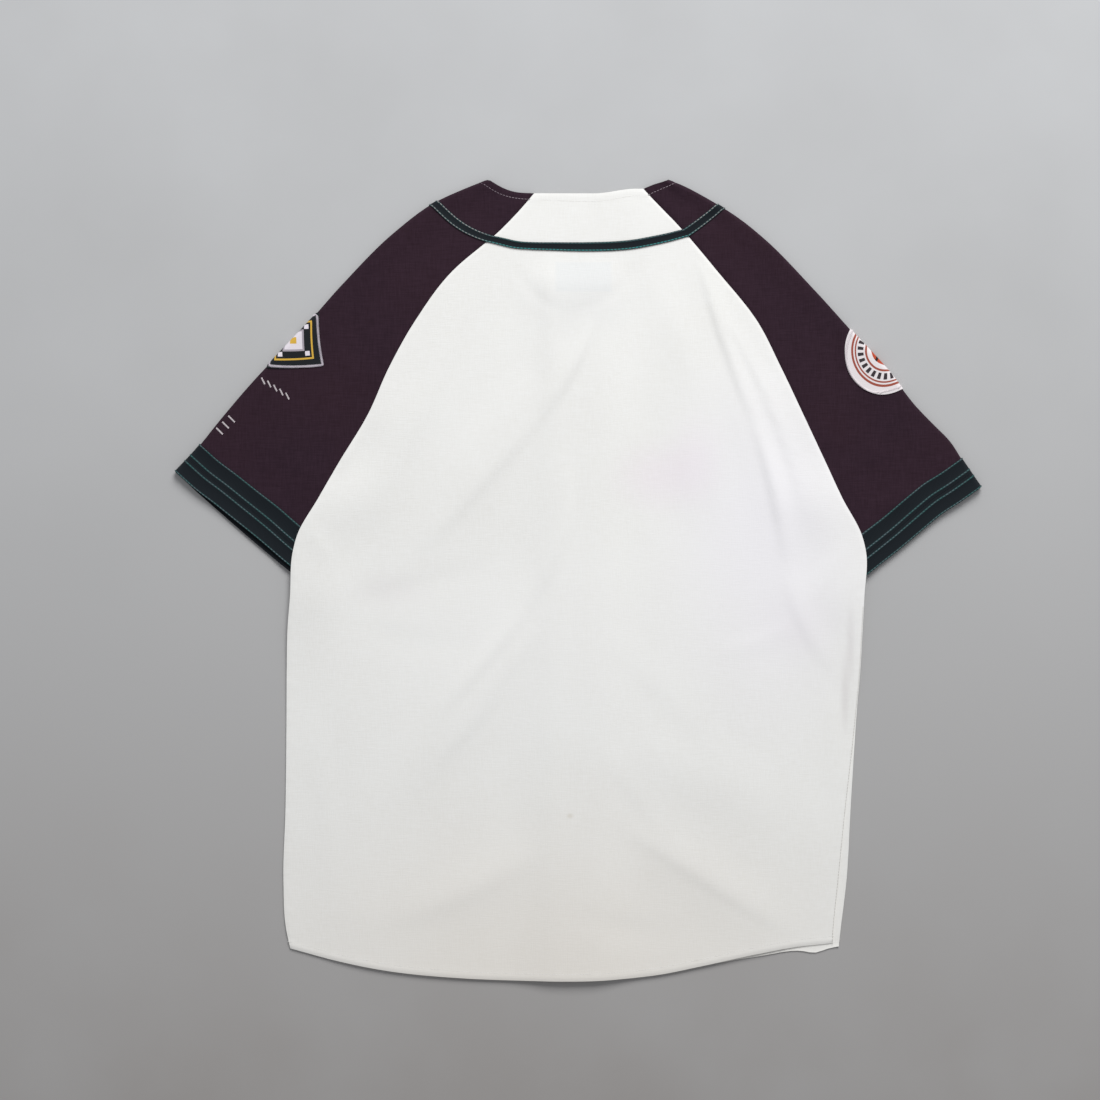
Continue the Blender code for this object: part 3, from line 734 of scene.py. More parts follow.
@dataclass(frozen=True)
class Finish:
    """What every finish has: its name, its constant values, how its material starts and ends."""

    name: str
    roughness: float = 0.9
    sheen: float = 0.0
    sheen_tint: str = "#FFFFFF"
    specular: float = 0.3
    depth: float = 0.0  # of its bump, in metres
    strength: float = 0.8  # of its bump

    def start(self) -> tuple[Material, Tree]:
        """Makes the material.

        Returns:
            The material, its shader's constant values set, and its node tree.
        """
        made = bpy.data.materials.new(self.name)
        made.use_nodes = True
        shader = made.node_tree.nodes[SHADER]
        shader.inputs["Roughness"].default_value = self.roughness
        shader.inputs["Specular IOR Level"].default_value = self.specular
        shader.inputs["Sheen Weight"].default_value = self.sheen
        shader.inputs["Sheen Roughness"].default_value = 0.5
        shader.inputs["Sheen Tint"].default_value = linear(self.sheen_tint)
        return made, made.node_tree

    def end(self, made: Material, layers: list, height: Socket | None = None) -> Material:
        """Gives the material its colour, and its bump where it has one.

        Args:
            made: The material.
            layers: Its colours, as blend_colours takes them.
            height: What its bump follows.

        Returns:
            The material.
        """
        tree = made.node_tree
        shader = tree.nodes[SHADER]
        tree.links.new(blend_colours(tree, layers), shader.inputs["Base Color"])
        if height is not None:
            size = {"Height": height, "Distance": self.depth, "Strength": self.strength}
            tree.links.new(add(tree, "ShaderNodeBump", size).outputs[0], shader.inputs["Normal"])
        return made


class Spot(NamedTuple):
    """A soft patch of colour on cloth, used for real marks and for painted light and shade: its middle,
    its half sizes, how strong it is, and its colour.
    """

    x: float
    y: float
    half_x: float
    half_y: float
    strength: float
    colour: str
    square: bool = False

    @property
    def core(self) -> float:
        """Share of its half size within which it keeps its full strength."""
        return 0.85 if self.square else 0.0


@dataclass(frozen=True)
class WovenCotton(Finish):
    """Plain-woven cotton, washed soft: matt, with slubs both ways and faint wear."""

    ground: str = "#F3F2EE"
    shade: str = "#E9E7E2"
    light: str = "#FAFAF8"
    slub_across: float = 0.9  # mm over a slub; real threads are 0.4 mm and wouldn't show
    slub_along: float = 11.0
    slub: Ramp = Ramp(0.7, 1.35, 0.55)  # how the two slubs' sum brings the light colour
    wash_scale: float = 9.0  # of the unevenness that washing leaves, one over metres
    wash: Ramp = Ramp(0.35, 0.75, 0.5)
    depth: float = 0.00012
    lint: float = 0.0
    lint_apart: float = 34.0
    lint_colour: str = "#8E8088"
    marks: tuple = ()
    hem_colour: str = ""  # of the cuff's facing, which turns in round the hem
    hem_reach: float = 9.0

    def build(self) -> Material:
        """Makes the material from noise stretched along the warp and along the weft."""
        made, tree = self.start()
        place = add(tree, COORDS).outputs["Object"]
        across, along = 1 / (self.slub_across * MM), 1 / (self.slub_along * MM)
        slubs = []
        for scale in ((across, along, across), (along, across, across)):
            mapped = add(tree, "ShaderNodeMapping", {"Vector": place, "Scale": scale}).outputs[0]
            noise = {"Vector": mapped, "Scale": 1.0, "Detail": 2.0}
            slubs.append(add(tree, NOISE, noise).outputs[0])
        weave = add(tree, MATH, {0: slubs[0], 1: slubs[1]}, operation="ADD").outputs[0]
        noise = {"Vector": place, "Scale": self.wash_scale, "Detail": 3.0}
        wash = add(tree, NOISE, noise).outputs[0]
        worn = add(tree, RAMP, self.wash.inputs(wash)).outputs[0]
        fine = add(tree, RAMP, self.slub.inputs(weave)).outputs[0]
        layers = [linear(self.ground), (worn, linear(self.shade)), (fine, linear(self.light))]
        for mark in self.marks:
            layers.append((self.mark_mask(tree, place, mark), linear(mark.colour)))
        if self.lint:
            cells = {"Vector": place, "Scale": 1 / (self.lint_apart * MM)}
            away = add(tree, "ShaderNodeTexVoronoi", cells).outputs["Distance"]
            speck = add(tree, MATH, {0: away, 1: self.lint}, operation="LESS_THAN")
            layers.append((speck.outputs[0], linear(self.lint_colour)))
        if self.hem_colour:
            flat = add(tree, OWN_MAP, uv_map="flat").outputs[0]
            run = add(tree, SPLIT, {0: flat}).outputs[0]
            reach = self.hem_reach * MM
            faced = add(tree, MATH, {0: run, 1: reach}, operation="LESS_THAN")
            layers.append((faced.outputs[0], linear(self.hem_colour)))
        return self.end(made, layers, weave)

    def mark_mask(self, tree: Tree, place: Socket, mark: Spot) -> Socket:
        """A mask for one mark: a soft oval, or a rectangle with soft edges.

        Args:
            tree: The material's node tree.
            place: The object coordinates.
            mark: Where the mark is.

        Returns:
            The mask's socket.
        """
        scale = (1 / (mark.half_x * MM), 1 / (mark.half_y * MM), 0)
        offset = (-mark.x / mark.half_x, -mark.y / mark.half_y, 0)
        mapped = {"Vector": place, "Scale": scale, "Location": offset}
        off = add(tree, "ShaderNodeMapping", mapped).outputs[0]
        if mark.square:
            off = add(tree, VECTOR, {0: off}, operation="ABSOLUTE").outputs[0]
            off = add(tree, SPLIT, {0: off}).outputs
            away = add(tree, MATH, {0: off[0], 1: off[1]}, operation="MAXIMUM").outputs[0]
        else:
            away = add(tree, VECTOR, {0: off}, operation="LENGTH").outputs["Value"]
        faded = {0: away, 1: mark.core, 2: 1.0, 3: mark.strength, 4: 0.0}
        faded = add(tree, RAMP, faded, interpolation_type="SMOOTHSTEP")
        return faded.outputs[0]


@dataclass(frozen=True)
class KnitBraid(Finish):
    """Knitted polyester braid: near-black with fine ribs, and teal yarn that greys in places."""

    ground: str = "#10161B"
    sheen_yarn: str = "#18232B"
    edge: str = "#254C4C"
    fleck: str = "#3F4B50"
    rib: float = 1.5  # mm; real ribs are finer and wouldn't show
    glint: Ramp = Ramp(-1.0, 1.0, 0.4)  # how the ribs' wave brings their sheen
    yarn: Ramp = Ramp(0.08, 0.35)  # how the yarn's height brings its colour
    greyed: Ramp = Ramp(0.42, 0.6, 0.8)
    drift: float = 9.0  # mm over which the yarn's colour changes
    depth: float = 0.00012
    strength: float = 0.6

    def build(self) -> Material:
        """Makes the material on the strip's own map: metres along it, height of its yarn."""
        made, tree = self.start()
        flat = add(tree, OWN_MAP, uv_map="flat").outputs[0]
        along, yarn_height, _ = add(tree, SPLIT, {0: flat}).outputs
        edge = add(tree, RAMP, self.yarn.inputs(yarn_height)).outputs[0]
        turns = 2 * math.pi / (self.rib * MM)
        ribs = add(tree, MATH, {0: along, 1: turns}, operation="MULTIPLY").outputs[0]
        ribs = add(tree, MATH, {0: ribs}, operation="SINE").outputs[0]
        noise = {"W": along, "Scale": 1 / (self.drift * MM), "Detail": 2.0}
        drift = add(tree, NOISE, noise, noise_dimensions="1D").outputs[0]
        fleck = add(tree, RAMP, self.greyed.inputs(drift)).outputs[0]
        glint = add(tree, RAMP, self.glint.inputs(ribs)).outputs[0]
        yarn = blend_colours(tree, [linear(self.edge), (fleck, linear(self.fleck))])
        ground = blend_colours(tree, [linear(self.ground), (glint, linear(self.sheen_yarn))])
        return self.end(made, [ground, (edge, yarn)], ribs)


@dataclass(frozen=True)
class Felt(Finish):
    """Pressed felt under embroidery: matt, with a pile that takes the light unevenly."""

    pile: float = 0.9  # mm; real fibres are finer and wouldn't show
    depth: float = 0.00025

    def pile_height(self, tree: Tree) -> Socket:
        """What the bump of the pile follows."""
        place = add(tree, COORDS).outputs["Object"]
        noise = {"Vector": place, "Scale": 1 / (self.pile * MM), "Detail": 3.0}
        return add(tree, NOISE, noise).outputs[0]


class Ring(NamedTuple):
    """A ring of thread on a round patch, in shares of its radius."""

    radius: float
    half: float
    colour: str


PATCH_RINGS = rows(
    Ring,
    (0.815, 0.026, "#A05040"),
    (0.735, 0.018, "#A05040"),
    (0.475, 0.024, "#A05040"),
)


@dataclass(frozen=True)
class RoundFelt(Felt):
    """White felt with embroidery: thin rust rings, a band of dashes, a ball in the middle."""

    ground: str = "#E9E2E3"
    dash: str = "#3A3236"
    ball: str = "#B5482C"
    seam: str = "#1B1716"
    dashes: int = 26
    dash_half: float = 0.27  # half length, as a share of the dashes' spacing
    band: tuple = (0.61, 0.072)
    ball_radius: float = 0.34
    seam_centre: float = 0.52
    seam_turn: tuple = (0.8, 0.6)  # direction in which the ball's seams lie
    seam_radius: float = 0.34
    seam_half: float = 0.03

    def build(self) -> Material:
        """Makes the material on the patch's own map, where 1 is its radius."""
        made, tree = self.start()
        flat = add(tree, OWN_MAP, uv_map="flat").outputs[0]
        away = add(tree, VECTOR, {0: flat}, operation="LENGTH").outputs["Value"]
        x, y, _ = add(tree, SPLIT, {0: flat}).outputs
        angle = add(tree, MATH, {0: y, 1: x}, operation="ARCTAN2").outputs[0]
        per_turn = self.dashes / (2 * math.pi)
        turns = add(tree, MATH, {0: angle, 1: per_turn}, operation="MULTIPLY").outputs[0]
        part = add(tree, MATH, {0: turns, 1: 1.0}, operation="FLOORED_MODULO").outputs[0]
        layers = [linear(self.ground)]
        for radius, half, colour in PATCH_RINGS:
            ring = {0: away, 1: radius, 2: half}
            mask = add(tree, MATH, ring, operation="COMPARE").outputs[0]
            layers.append((mask, linear(colour)))
        ring = {0: away, 1: self.band[0], 2: self.band[1]}
        band = add(tree, MATH, ring, operation="COMPARE").outputs[0]
        beat = {0: part, 1: 0.5, 2: self.dash_half}
        beat = add(tree, MATH, beat, operation="COMPARE").outputs[0]
        both = add(tree, MATH, {0: band, 1: beat}, operation="MULTIPLY").outputs[0]
        layers.append((both, linear(self.dash)))
        inside = {0: away, 1: self.ball_radius}
        ball = add(tree, MATH, inside, operation="LESS_THAN").outputs[0]
        layers.append((ball, linear(self.ball)))
        for sign in (-1, 1):
            centre = (*(sign * self.seam_centre * turn for turn in self.seam_turn), 0)
            off = add(tree, VECTOR, {0: flat, 1: centre}, operation="DISTANCE")
            arc = {0: off.outputs["Value"], 1: self.seam_radius, 2: self.seam_half}
            arc = add(tree, MATH, arc, operation="COMPARE").outputs[0]
            mask = add(tree, MATH, {0: arc, 1: ball}, operation="MULTIPLY").outputs[0]
            layers.append((mask, linear(self.seam)))
        return self.end(made, layers, self.pile_height(tree))


class Square(NamedTuple):
    """A square of thread on the diamond badge, in shares of its half width."""

    x: float
    y: float
    half: float
    colour: str


BADGE_SQUARES = rows(
    Square,
    (0, 0, 0.72, "#D8AE45"),
    (0, 0, 0.655, "#171B1F"),
    (0, 0, 0.40, "#A79FA8"),
    (0, 0, 0.33, "#E6DFE6"),
    (0.5, 0, 0.085, "#E6DFE6"),
    (-0.5, 0, 0.085, "#E6DFE6"),
    (0, 0.5, 0.085, "#E6DFE6"),
    (0, -0.5, 0.085, "#E6DFE6"),
    (0, 0, 0.12, "#D8AE45"),
)


@dataclass(frozen=True)
class DiamondFelt(Felt):
    """Black felt with embroidery: squares within squares and four small bases."""

    ground: str = "#171B1F"

    def build(self) -> Material:
        """Makes the material on the badge's own map, where 1 is half its diagonal."""
        made, tree = self.start()
        flat = add(tree, OWN_MAP, uv_map="flat").outputs[0]
        layers = [linear(self.ground)]
        for x, y, half, colour in BADGE_SQUARES:
            off = {0: flat, 1: (x, y, 0)}
            off = add(tree, VECTOR, off, operation="SUBTRACT").outputs[0]
            off = add(tree, VECTOR, {0: off}, operation="ABSOLUTE").outputs[0]
            away = {0: off, 1: (1, 1, 0)}
            away = add(tree, VECTOR, away, operation="DOT_PRODUCT").outputs["Value"]
            mask = add(tree, MATH, {0: away, 1: half}, operation="LESS_THAN").outputs[0]
            layers.append((mask, linear(colour)))
        return self.end(made, layers, self.pile_height(tree))


@dataclass(frozen=True)
class SpunThread(Finish):
    """Spun polyester thread: satin, with its colour drifting a little from stitch to stitch."""

    roughness: float = 0.6
    colour: str = "#FFFFFF"
    other: str = "#E0E0E0"
    drift: float = 12.0  # mm over which the colour changes
    change: Ramp = Ramp(0.38, 0.62)
    ends_colour: str = ""  # of the thread beyond the middle stretch
    middle: tuple = (11.0, 96.0)  # the stretch's centre and half length along x, in mm
    turn: float = 14.0  # mm over which the ends' colour comes in
    twist: float = 0.5
    depth: float = 0.0001
    strength: float = 0.5

    def build(self) -> Material:
        """Makes the material on object coordinates, since stitches have no map of their own."""
        made, tree = self.start()
        place = add(tree, COORDS).outputs["Object"]
        noise = {"Vector": place, "Scale": 1 / (self.drift * MM), "Detail": 2.0}
        drift = add(tree, NOISE, noise).outputs[0]
        share = add(tree, RAMP, self.change.inputs(drift)).outputs[0]
        layers = [linear(self.colour), (share, linear(self.other))]
        if self.ends_colour:
            x = add(tree, SPLIT, {0: place}).outputs[0]
            centre, half = self.middle
            off = add(tree, MATH, {0: x, 1: centre * MM}, operation="SUBTRACT")
            away = add(tree, MATH, {0: off.outputs[0]}, operation="ABSOLUTE").outputs[0]
            ends = Ramp(half * MM, (half + self.turn) * MM)
            beyond = add(tree, RAMP, ends.inputs(away)).outputs[0]
            layers.append((beyond, linear(self.ends_colour)))
        twist = {"Vector": place, "Scale": 1 / (self.twist * MM)}
        return self.end(made, layers, add(tree, NOISE, twist).outputs[0])


@dataclass(frozen=True)
class PearlPlastic(Finish):
    """Moulded polyester button: glossy, with a pearly drift of tone."""

    colour: str = "#E4E1DA"
    shade: str = "#CFCBC2"
    cloud: float = 3.0  # mm over which the tone changes
    curl: float = 1.2
    tone: Ramp = Ramp(0.35, 0.65)
    coat: float = 0.4
    coat_roughness: float = 0.15

    def build(self) -> Material:
        """Makes the material: one cloudy tone under a clear, polished skin."""
        made, tree = self.start()
        place = add(tree, COORDS).outputs["Object"]
        noise = {"Vector": place, "Scale": 1 / (self.cloud * MM), "Distortion": self.curl}
        cloud = add(tree, NOISE, noise).outputs[0]
        share = add(tree, RAMP, self.tone.inputs(cloud)).outputs[0]
        shader = tree.nodes[SHADER]
        shader.inputs["Coat Weight"].default_value = self.coat
        shader.inputs["Coat Roughness"].default_value = self.coat_roughness
        return self.end(made, [linear(self.colour), (share, linear(self.shade))])


@dataclass(frozen=True)
class PlainFloor(Finish):
    """Pale matt floor, faintly cloudy; darker and warmer below the hem, as painted shade."""

    colour: str = "#C4C5C6"
    # painted shade: the floor's darker colour below the hem
    near: str = "#9E9A97"
    shade: str = "#B3B3B3"
    fade: tuple = (-0.56, 0.62)  # y, in metres, up to which all is near and from which none is
    bend: float = 1.7  # above 1, so that the near colour gives way sooner
    cloud_scale: float = 5.0
    cloud: Ramp = Ramp(0.35, 0.7, 0.35)

    def build(self) -> Material:
        """Makes the material, whose colour changes along y: painted shade, darker towards the hem."""
        made, tree = self.start()
        place = add(tree, COORDS).outputs["Object"]
        y = add(tree, SPLIT, {0: place}).outputs[1]
        below = {0: y, 1: self.fade[0], 2: self.fade[1], 3: 1.0, 4: 0.0}
        below = add(tree, RAMP, below).outputs[0]
        below = add(tree, MATH, {0: below, 1: self.bend}, operation="POWER").outputs[0]
        noise = {"Vector": place, "Scale": self.cloud_scale, "Detail": 4.0}
        cloud = add(tree, NOISE, noise).outputs[0]
        cloudy = add(tree, RAMP, self.cloud.inputs(cloud)).outputs[0]
        layers = [linear(self.colour), (below, linear(self.near)), (cloudy, linear(self.shade))]
        return self.end(made, layers)


# Soft patches of colour on the white cloth: real marks and stains, and painted light and shade
CLOTH_MARKS_AND_PAINTED_SHADING = rows(
    Spot,
    (5.0, 303.0, 30.0, 16.0, 0.22, "#DCE4EA", True),  # the neck label inside shows through
    (2.0, 284.0, 84.0, 56.0, 0.42, "#E4E4E3"),  # painted shade: a soft darker patch below the neck label
    (-8.5, -234.5, 5.0, 4.0, 0.35, "#C9BFA9"),  # a faint stain
    (84.0, 104.0, 70.0, 50.0, 0.35, "#F2E3EE"),  # dye that ran in the wash
    (118.0, 122.0, 40.0, 60.0, 0.3, "#F0E2EC"),
    (214.0, -44.0, 64.0, 50.0, 0.3, "#E6DEE4"),
    (-190.0, -10.0, 60.0, 30.0, 0.25, "#E2DDDD"),
    (271.0, -66.0, 6.5, 58.0, 0.4, "#DAD5D3"),  # painted shadow of a fold near the right edge, a soft grey line (this row and the next)
    (266.0, -112.0, 6.5, 54.0, 0.45, "#DAD5D3"),
    (190.0, 40.0, 150.0, 260.0, 0.6, "#F8F5FB"),  # a cooler white beside the right seam
    # painted light: lifts the middle of the back a little, against the key light's falloff
    (-15.0, -50.0, 330.0, 150.0, 0.35, "#FCFBF9"),
    (-20.0, -430.0, 460.0, 300.0, 0.5, "#E8DFD2"),  # painted shade: darker and warmer towards the hem, where the key light falls off
)

TEAL, GREY_TEAL = "#3C6160", "#57666B"
FINISHES = {
    "cream_cotton": WovenCotton("washed_cotton_plain_weave", sheen=0.1, marks=CLOTH_MARKS_AND_PAINTED_SHADING),
    "aubergine_cotton": WovenCotton(
        "dyed_cotton_twill",
        roughness=0.88,
        sheen=0.07,
        sheen_tint="#8F7F8C",
        specular=0.15,
        ground="#291A24",
        shade="#311D25",
        light="#3B2935",
        slub_across=1.1,
        slub_along=14.0,
        lint=0.014,
        hem_colour="#14181D",
    ),
    "braid": KnitBraid("knitted_polyester_braid", roughness=0.7, sheen=0.05, specular=0.18),
    "round_felt": RoundFelt("embroidered_white_felt", sheen=0.1),
    "diamond_felt": DiamondFelt("embroidered_black_felt", sheen=0.1),
    "white_thread": SpunThread("white_polyester_thread", colour="#F3F2EF", other="#EAE8E3"),
    # grey, darker than the white thread: it draws the faint grey line along the back's right edge
    "seam_thread": SpunThread(
        "washed_cotton_seam_thread", roughness=0.8, colour="#C4C1BA", other="#BAB6AE"
    ),
    "lilac_thread": SpunThread("grey_lilac_polyester_thread", colour="#AC9EA6", other="#978892"),
    "teal_thread": SpunThread("teal_polyester_thread", colour=TEAL, other=GREY_TEAL, drift=28.0),
    "bright_thread": SpunThread(
        "bright_teal_polyester_thread", colour="#35898A", other="#40827F", ends_colour="#7E8281"
    ),
    "neck_thread": SpunThread(
        "worn_teal_polyester_thread",
        colour=TEAL,
        other=GREY_TEAL,
        drift=28.0,
        ends_colour="#8E8E8D",
    ),
    "border_white": SpunThread(
        "white_rayon_border_thread", roughness=0.5, colour="#EEE6E8", other="#E2D9DC"
    ),
    "border_grey": SpunThread(
        "grey_rayon_border_thread", roughness=0.5, colour="#D9D1D9", other="#C4BBC5"
    ),
    "pearl": PearlPlastic("pearl_polyester_button", roughness=0.25, specular=0.5),
    "floor": PlainFloor("matt_painted_floor"),
}
MATERIALS: dict[str, Material] = {}


def finish_named(name: str) -> Material:
    """The material of a finish, built when it is first asked for.

    Args:
        name: The finish's key in FINISHES.

    Returns:
        The material.
    """
    if name not in MATERIALS:
        MATERIALS[name] = FINISHES[name].build()
    return MATERIALS[name]


# ======== meshes
def dress(obj: Thing, nodes: tuple = ()) -> Thing:
    """Puts a finished piece on the frame.

    Args:
        obj: The piece, in place.
        nodes: CAD nodes that it stands for.

    Returns:
        The piece.
    """
    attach(obj, "root")
    if nodes:
        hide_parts(*nodes)
    LOG.info("%s: %d faces", obj.name, len(obj.data.polygons))
    return obj


def link_mesh(name: str, mesh: bpy.types.Mesh, finish: str) -> Thing:
    """Makes an object of a mesh.

    Args:
        name: The object's name.
        mesh: Its mesh, in place.
        finish: Name of the one finish that it wears.

    Returns:
        The object, linked to the scene.
    """
    obj = bpy.data.objects.new(name, mesh)
    bpy.context.scene.collection.objects.link(obj)
    mesh.materials.clear()
    mesh.materials.append(finish_named(finish))
    return obj


SHARP_FOLD, SHARP_RIM = math.radians(60), math.radians(40)


def wall_mesh(
    name: str, grid: Array, thickness: float, finish: str, flat: Array | None = None
) -> Thing:
    """A wall of cloth round a grid of middle points.

    Args:
        name: The piece's name.
        grid: Points in millimetres, rows by columns.
        thickness: The wall's thickness in millimetres.
        finish: Name of its finish.
        flat: The points' places on the piece's own map, or None if it needs none.

    Returns:
        The object, its wall made.
    """
    down, across = grid.shape[:2]
    a = (np.arange(down - 1)[:, None] * across + np.arange(across - 1)).ravel()
    faces = np.stack([a, a + across, a + across + 1, a + 1], axis=1)
    mesh = bpy.data.meshes.new(name)
    mesh.from_pydata((grid.reshape(-1, 3) * MM).tolist(), [], faces.tolist())
    if flat is not None:
        layer = mesh.uv_layers.new(name="flat")
        layer.data.foreach_set("uv", flat.reshape(-1, 2)[faces.ravel()].astype(np.float32).ravel())
    mesh.shade_smooth()
    obj = link_mesh(name, mesh, finish)
    wall = obj.modifiers.new("wall", "SOLIDIFY")
    wall.thickness = thickness * MM
    wall.offset = 0
    wall.use_quality_normals = True
    bake(obj)
    shape = bmesh.new()
    shape.from_mesh(obj.data)
    if shape.calc_volume(signed=True) < 0:
        bmesh.ops.reverse_faces(shape, faces=shape.faces)
    for edge in shape.edges:
        edge.smooth = edge.calc_face_angle(0) < SHARP_FOLD
    shape.to_mesh(obj.data)
    shape.free()
    return obj


def bake(obj: Thing) -> None:
    """Turns an object and its modifiers into a plain mesh.

    Args:
        obj: The object, which keeps its name.
    """
    bpy.context.view_layer.update()
    graph = bpy.context.evaluated_depsgraph_get()
    mesh = bpy.data.meshes.new_from_object(obj.evaluated_get(graph))
    obj.modifiers.clear()
    old, obj.data = obj.data, mesh
    mesh.name = obj.name
    if isinstance(old, bpy.types.Mesh):
        bpy.data.meshes.remove(old)


# ======== panels
@dataclass
class Panel:
    """A piece of cloth: its plain grid, the way its grid faces, and its detailed grid."""

    plain: Array
    outward: int
    grid: Array = field(init=False)

    def __post_init__(self) -> None:
        """Starts the detailed grid as the plain one."""
        self.grid = self.plain.copy()

    def normals(self) -> Array:
        """Unit vectors out of the garment at each point of the plain grid."""
        normal = np.cross(np.gradient(self.plain, axis=0), np.gradient(self.plain, axis=1))
        length = np.linalg.norm(normal, axis=-1, keepdims=True)
        return self.outward * normal / np.maximum(length, 1e-9)

    def runs(self) -> tuple[Array, Array, Array, Array]:
        """Each point's distances from the first and last row and the first and last column."""
        down, across = run_along(self.plain, 0), run_along(self.plain, 1)
        return down, down[-1:] - down, across, across[:, -1:] - across

    def moved_out(self, distance: float) -> Array:
        """The plain grid's points, moved this far out of the garment."""
        return self.plain + self.normals() * distance

    def add_relief(self, relief: Array) -> None:
        """Moves the detailed grid's points along the normals, only inwards where they face down.

        Args:
            relief: How far out each point goes.
        """
        normal = self.normals()
        relief = np.where(normal[..., 2] < 0, np.minimum(relief, 0), relief)
        self.grid += normal * relief[..., None]

    def row_at(self, distance: Array | float, from_end: bool = False, out: float = 0.0) -> Array:
        """A line of points at a distance from the first or last row.

        Args:
            distance: Distance along the columns, one for all or one for each.
            from_end: Whether to measure from the last row.
            out: How far the line stands out from the middle of the wall.

        Returns:
            One point for each column.
        """
        grid = self.moved_out(out)
        grid = grid[::-1] if from_end else grid
        distance = np.broadcast_to(distance, grid.shape[1])
        return np.array([at_distance(grid[:, j], [d])[0] for j, d in enumerate(distance)])

    def end_slant(self) -> Array:
        """How much farther it is along each column than square to the last row.

        Returns:
            One factor of 1 or more for each column.
        """
        last, above = self.plain[-1], self.plain[-1 - SLANT_ROWS]
        along, across = above - last, np.gradient(last, axis=0)
        sine = np.linalg.norm(np.cross(along, across), axis=1)
        sine /= np.linalg.norm(along, axis=1) * np.linalg.norm(across, axis=1)
        slant = 1 / np.maximum(sine, MIN_SINE)
        for _ in range(SLANT_PASSES):
            slant[1:-1] = (slant[:-2] + 2 * slant[1:-1] + slant[2:]) / 4
        return slant


@dataclass(frozen=True)
class Hem:
    """Sizes of a folded and stitched edge."""

    fold: float = 7.0  # from the edge to its stitching
    rise: float = 0.14  # how much its doubled cloth stands up
    valley: float = 0.1  # depth of the sewn line
    edge_drop: float = 0.4
    pucker: float = 0.14
    step: float = 3.0  # over which the doubled cloth comes down
    valley_half: float = 1.5
    edge_half: float = 1.6
    pucker_place: float = 0.6  # of the fold's width, as is the next
    pucker_half: float = 0.55

    def relief(self, run: Array, along: Array) -> Array:
        """Height of the hem.

        Args:
            run: Distance of each point from the edge.
            along: Distance of each point along the edge.

        Returns:
            Heights in the shape of run.
        """
        height = self.rise * (1 - smooth((run - self.fold) / self.step))
        height -= self.valley * np.exp(-(((run - self.fold) / self.valley_half) ** 2))
        height -= self.edge_drop * np.exp(-((run / self.edge_half) ** 2))
        off = run - self.pucker_place * self.fold
        reach = np.exp(-((off / (self.pucker_half * self.fold)) ** 2))
        return height + self.pucker * uneven(along) * reach


BODY_HEM = Hem()
NECK_HEM = Hem(fold=8.0, rise=0.2, valley=0.25, edge_drop=0.35, pucker=0.1)
BACK_HEM = Hem(edge_drop=0.65)
BACK_NECK_HEM = Hem(fold=8.0, rise=0.05, valley=0.03, edge_drop=0.35, pucker=0.05)
CUFF_HEM = Hem(fold=18.0, rise=0.15, valley=0.1, edge_drop=0.35, pucker=0.18)


SEAM_HALF, PUCKER_REACH = 1.9, 10.0
SEAM_SHIFT = 3.1  # so that seams and hems don't pucker at the same places


def seam_relief(run: Array, along: Array, depth: Array | float = 0.5, pucker: float = 0.16) -> Array:
    """Height beside a sewn seam: a valley at the seam and puckers that die away from it.

    Args:
        run: Distance of each point from the seam.
        along: Distance of each point along the seam.
        depth: How deep the valley is.
        pucker: How high the puckers are.

    Returns:
        Heights in the shape of run.
    """
    valley = -depth * np.exp(-((run / SEAM_HALF) ** 2))
    return valley + pucker * uneven(along + SEAM_SHIFT) * np.exp(-((run / PUCKER_REACH) ** 2))


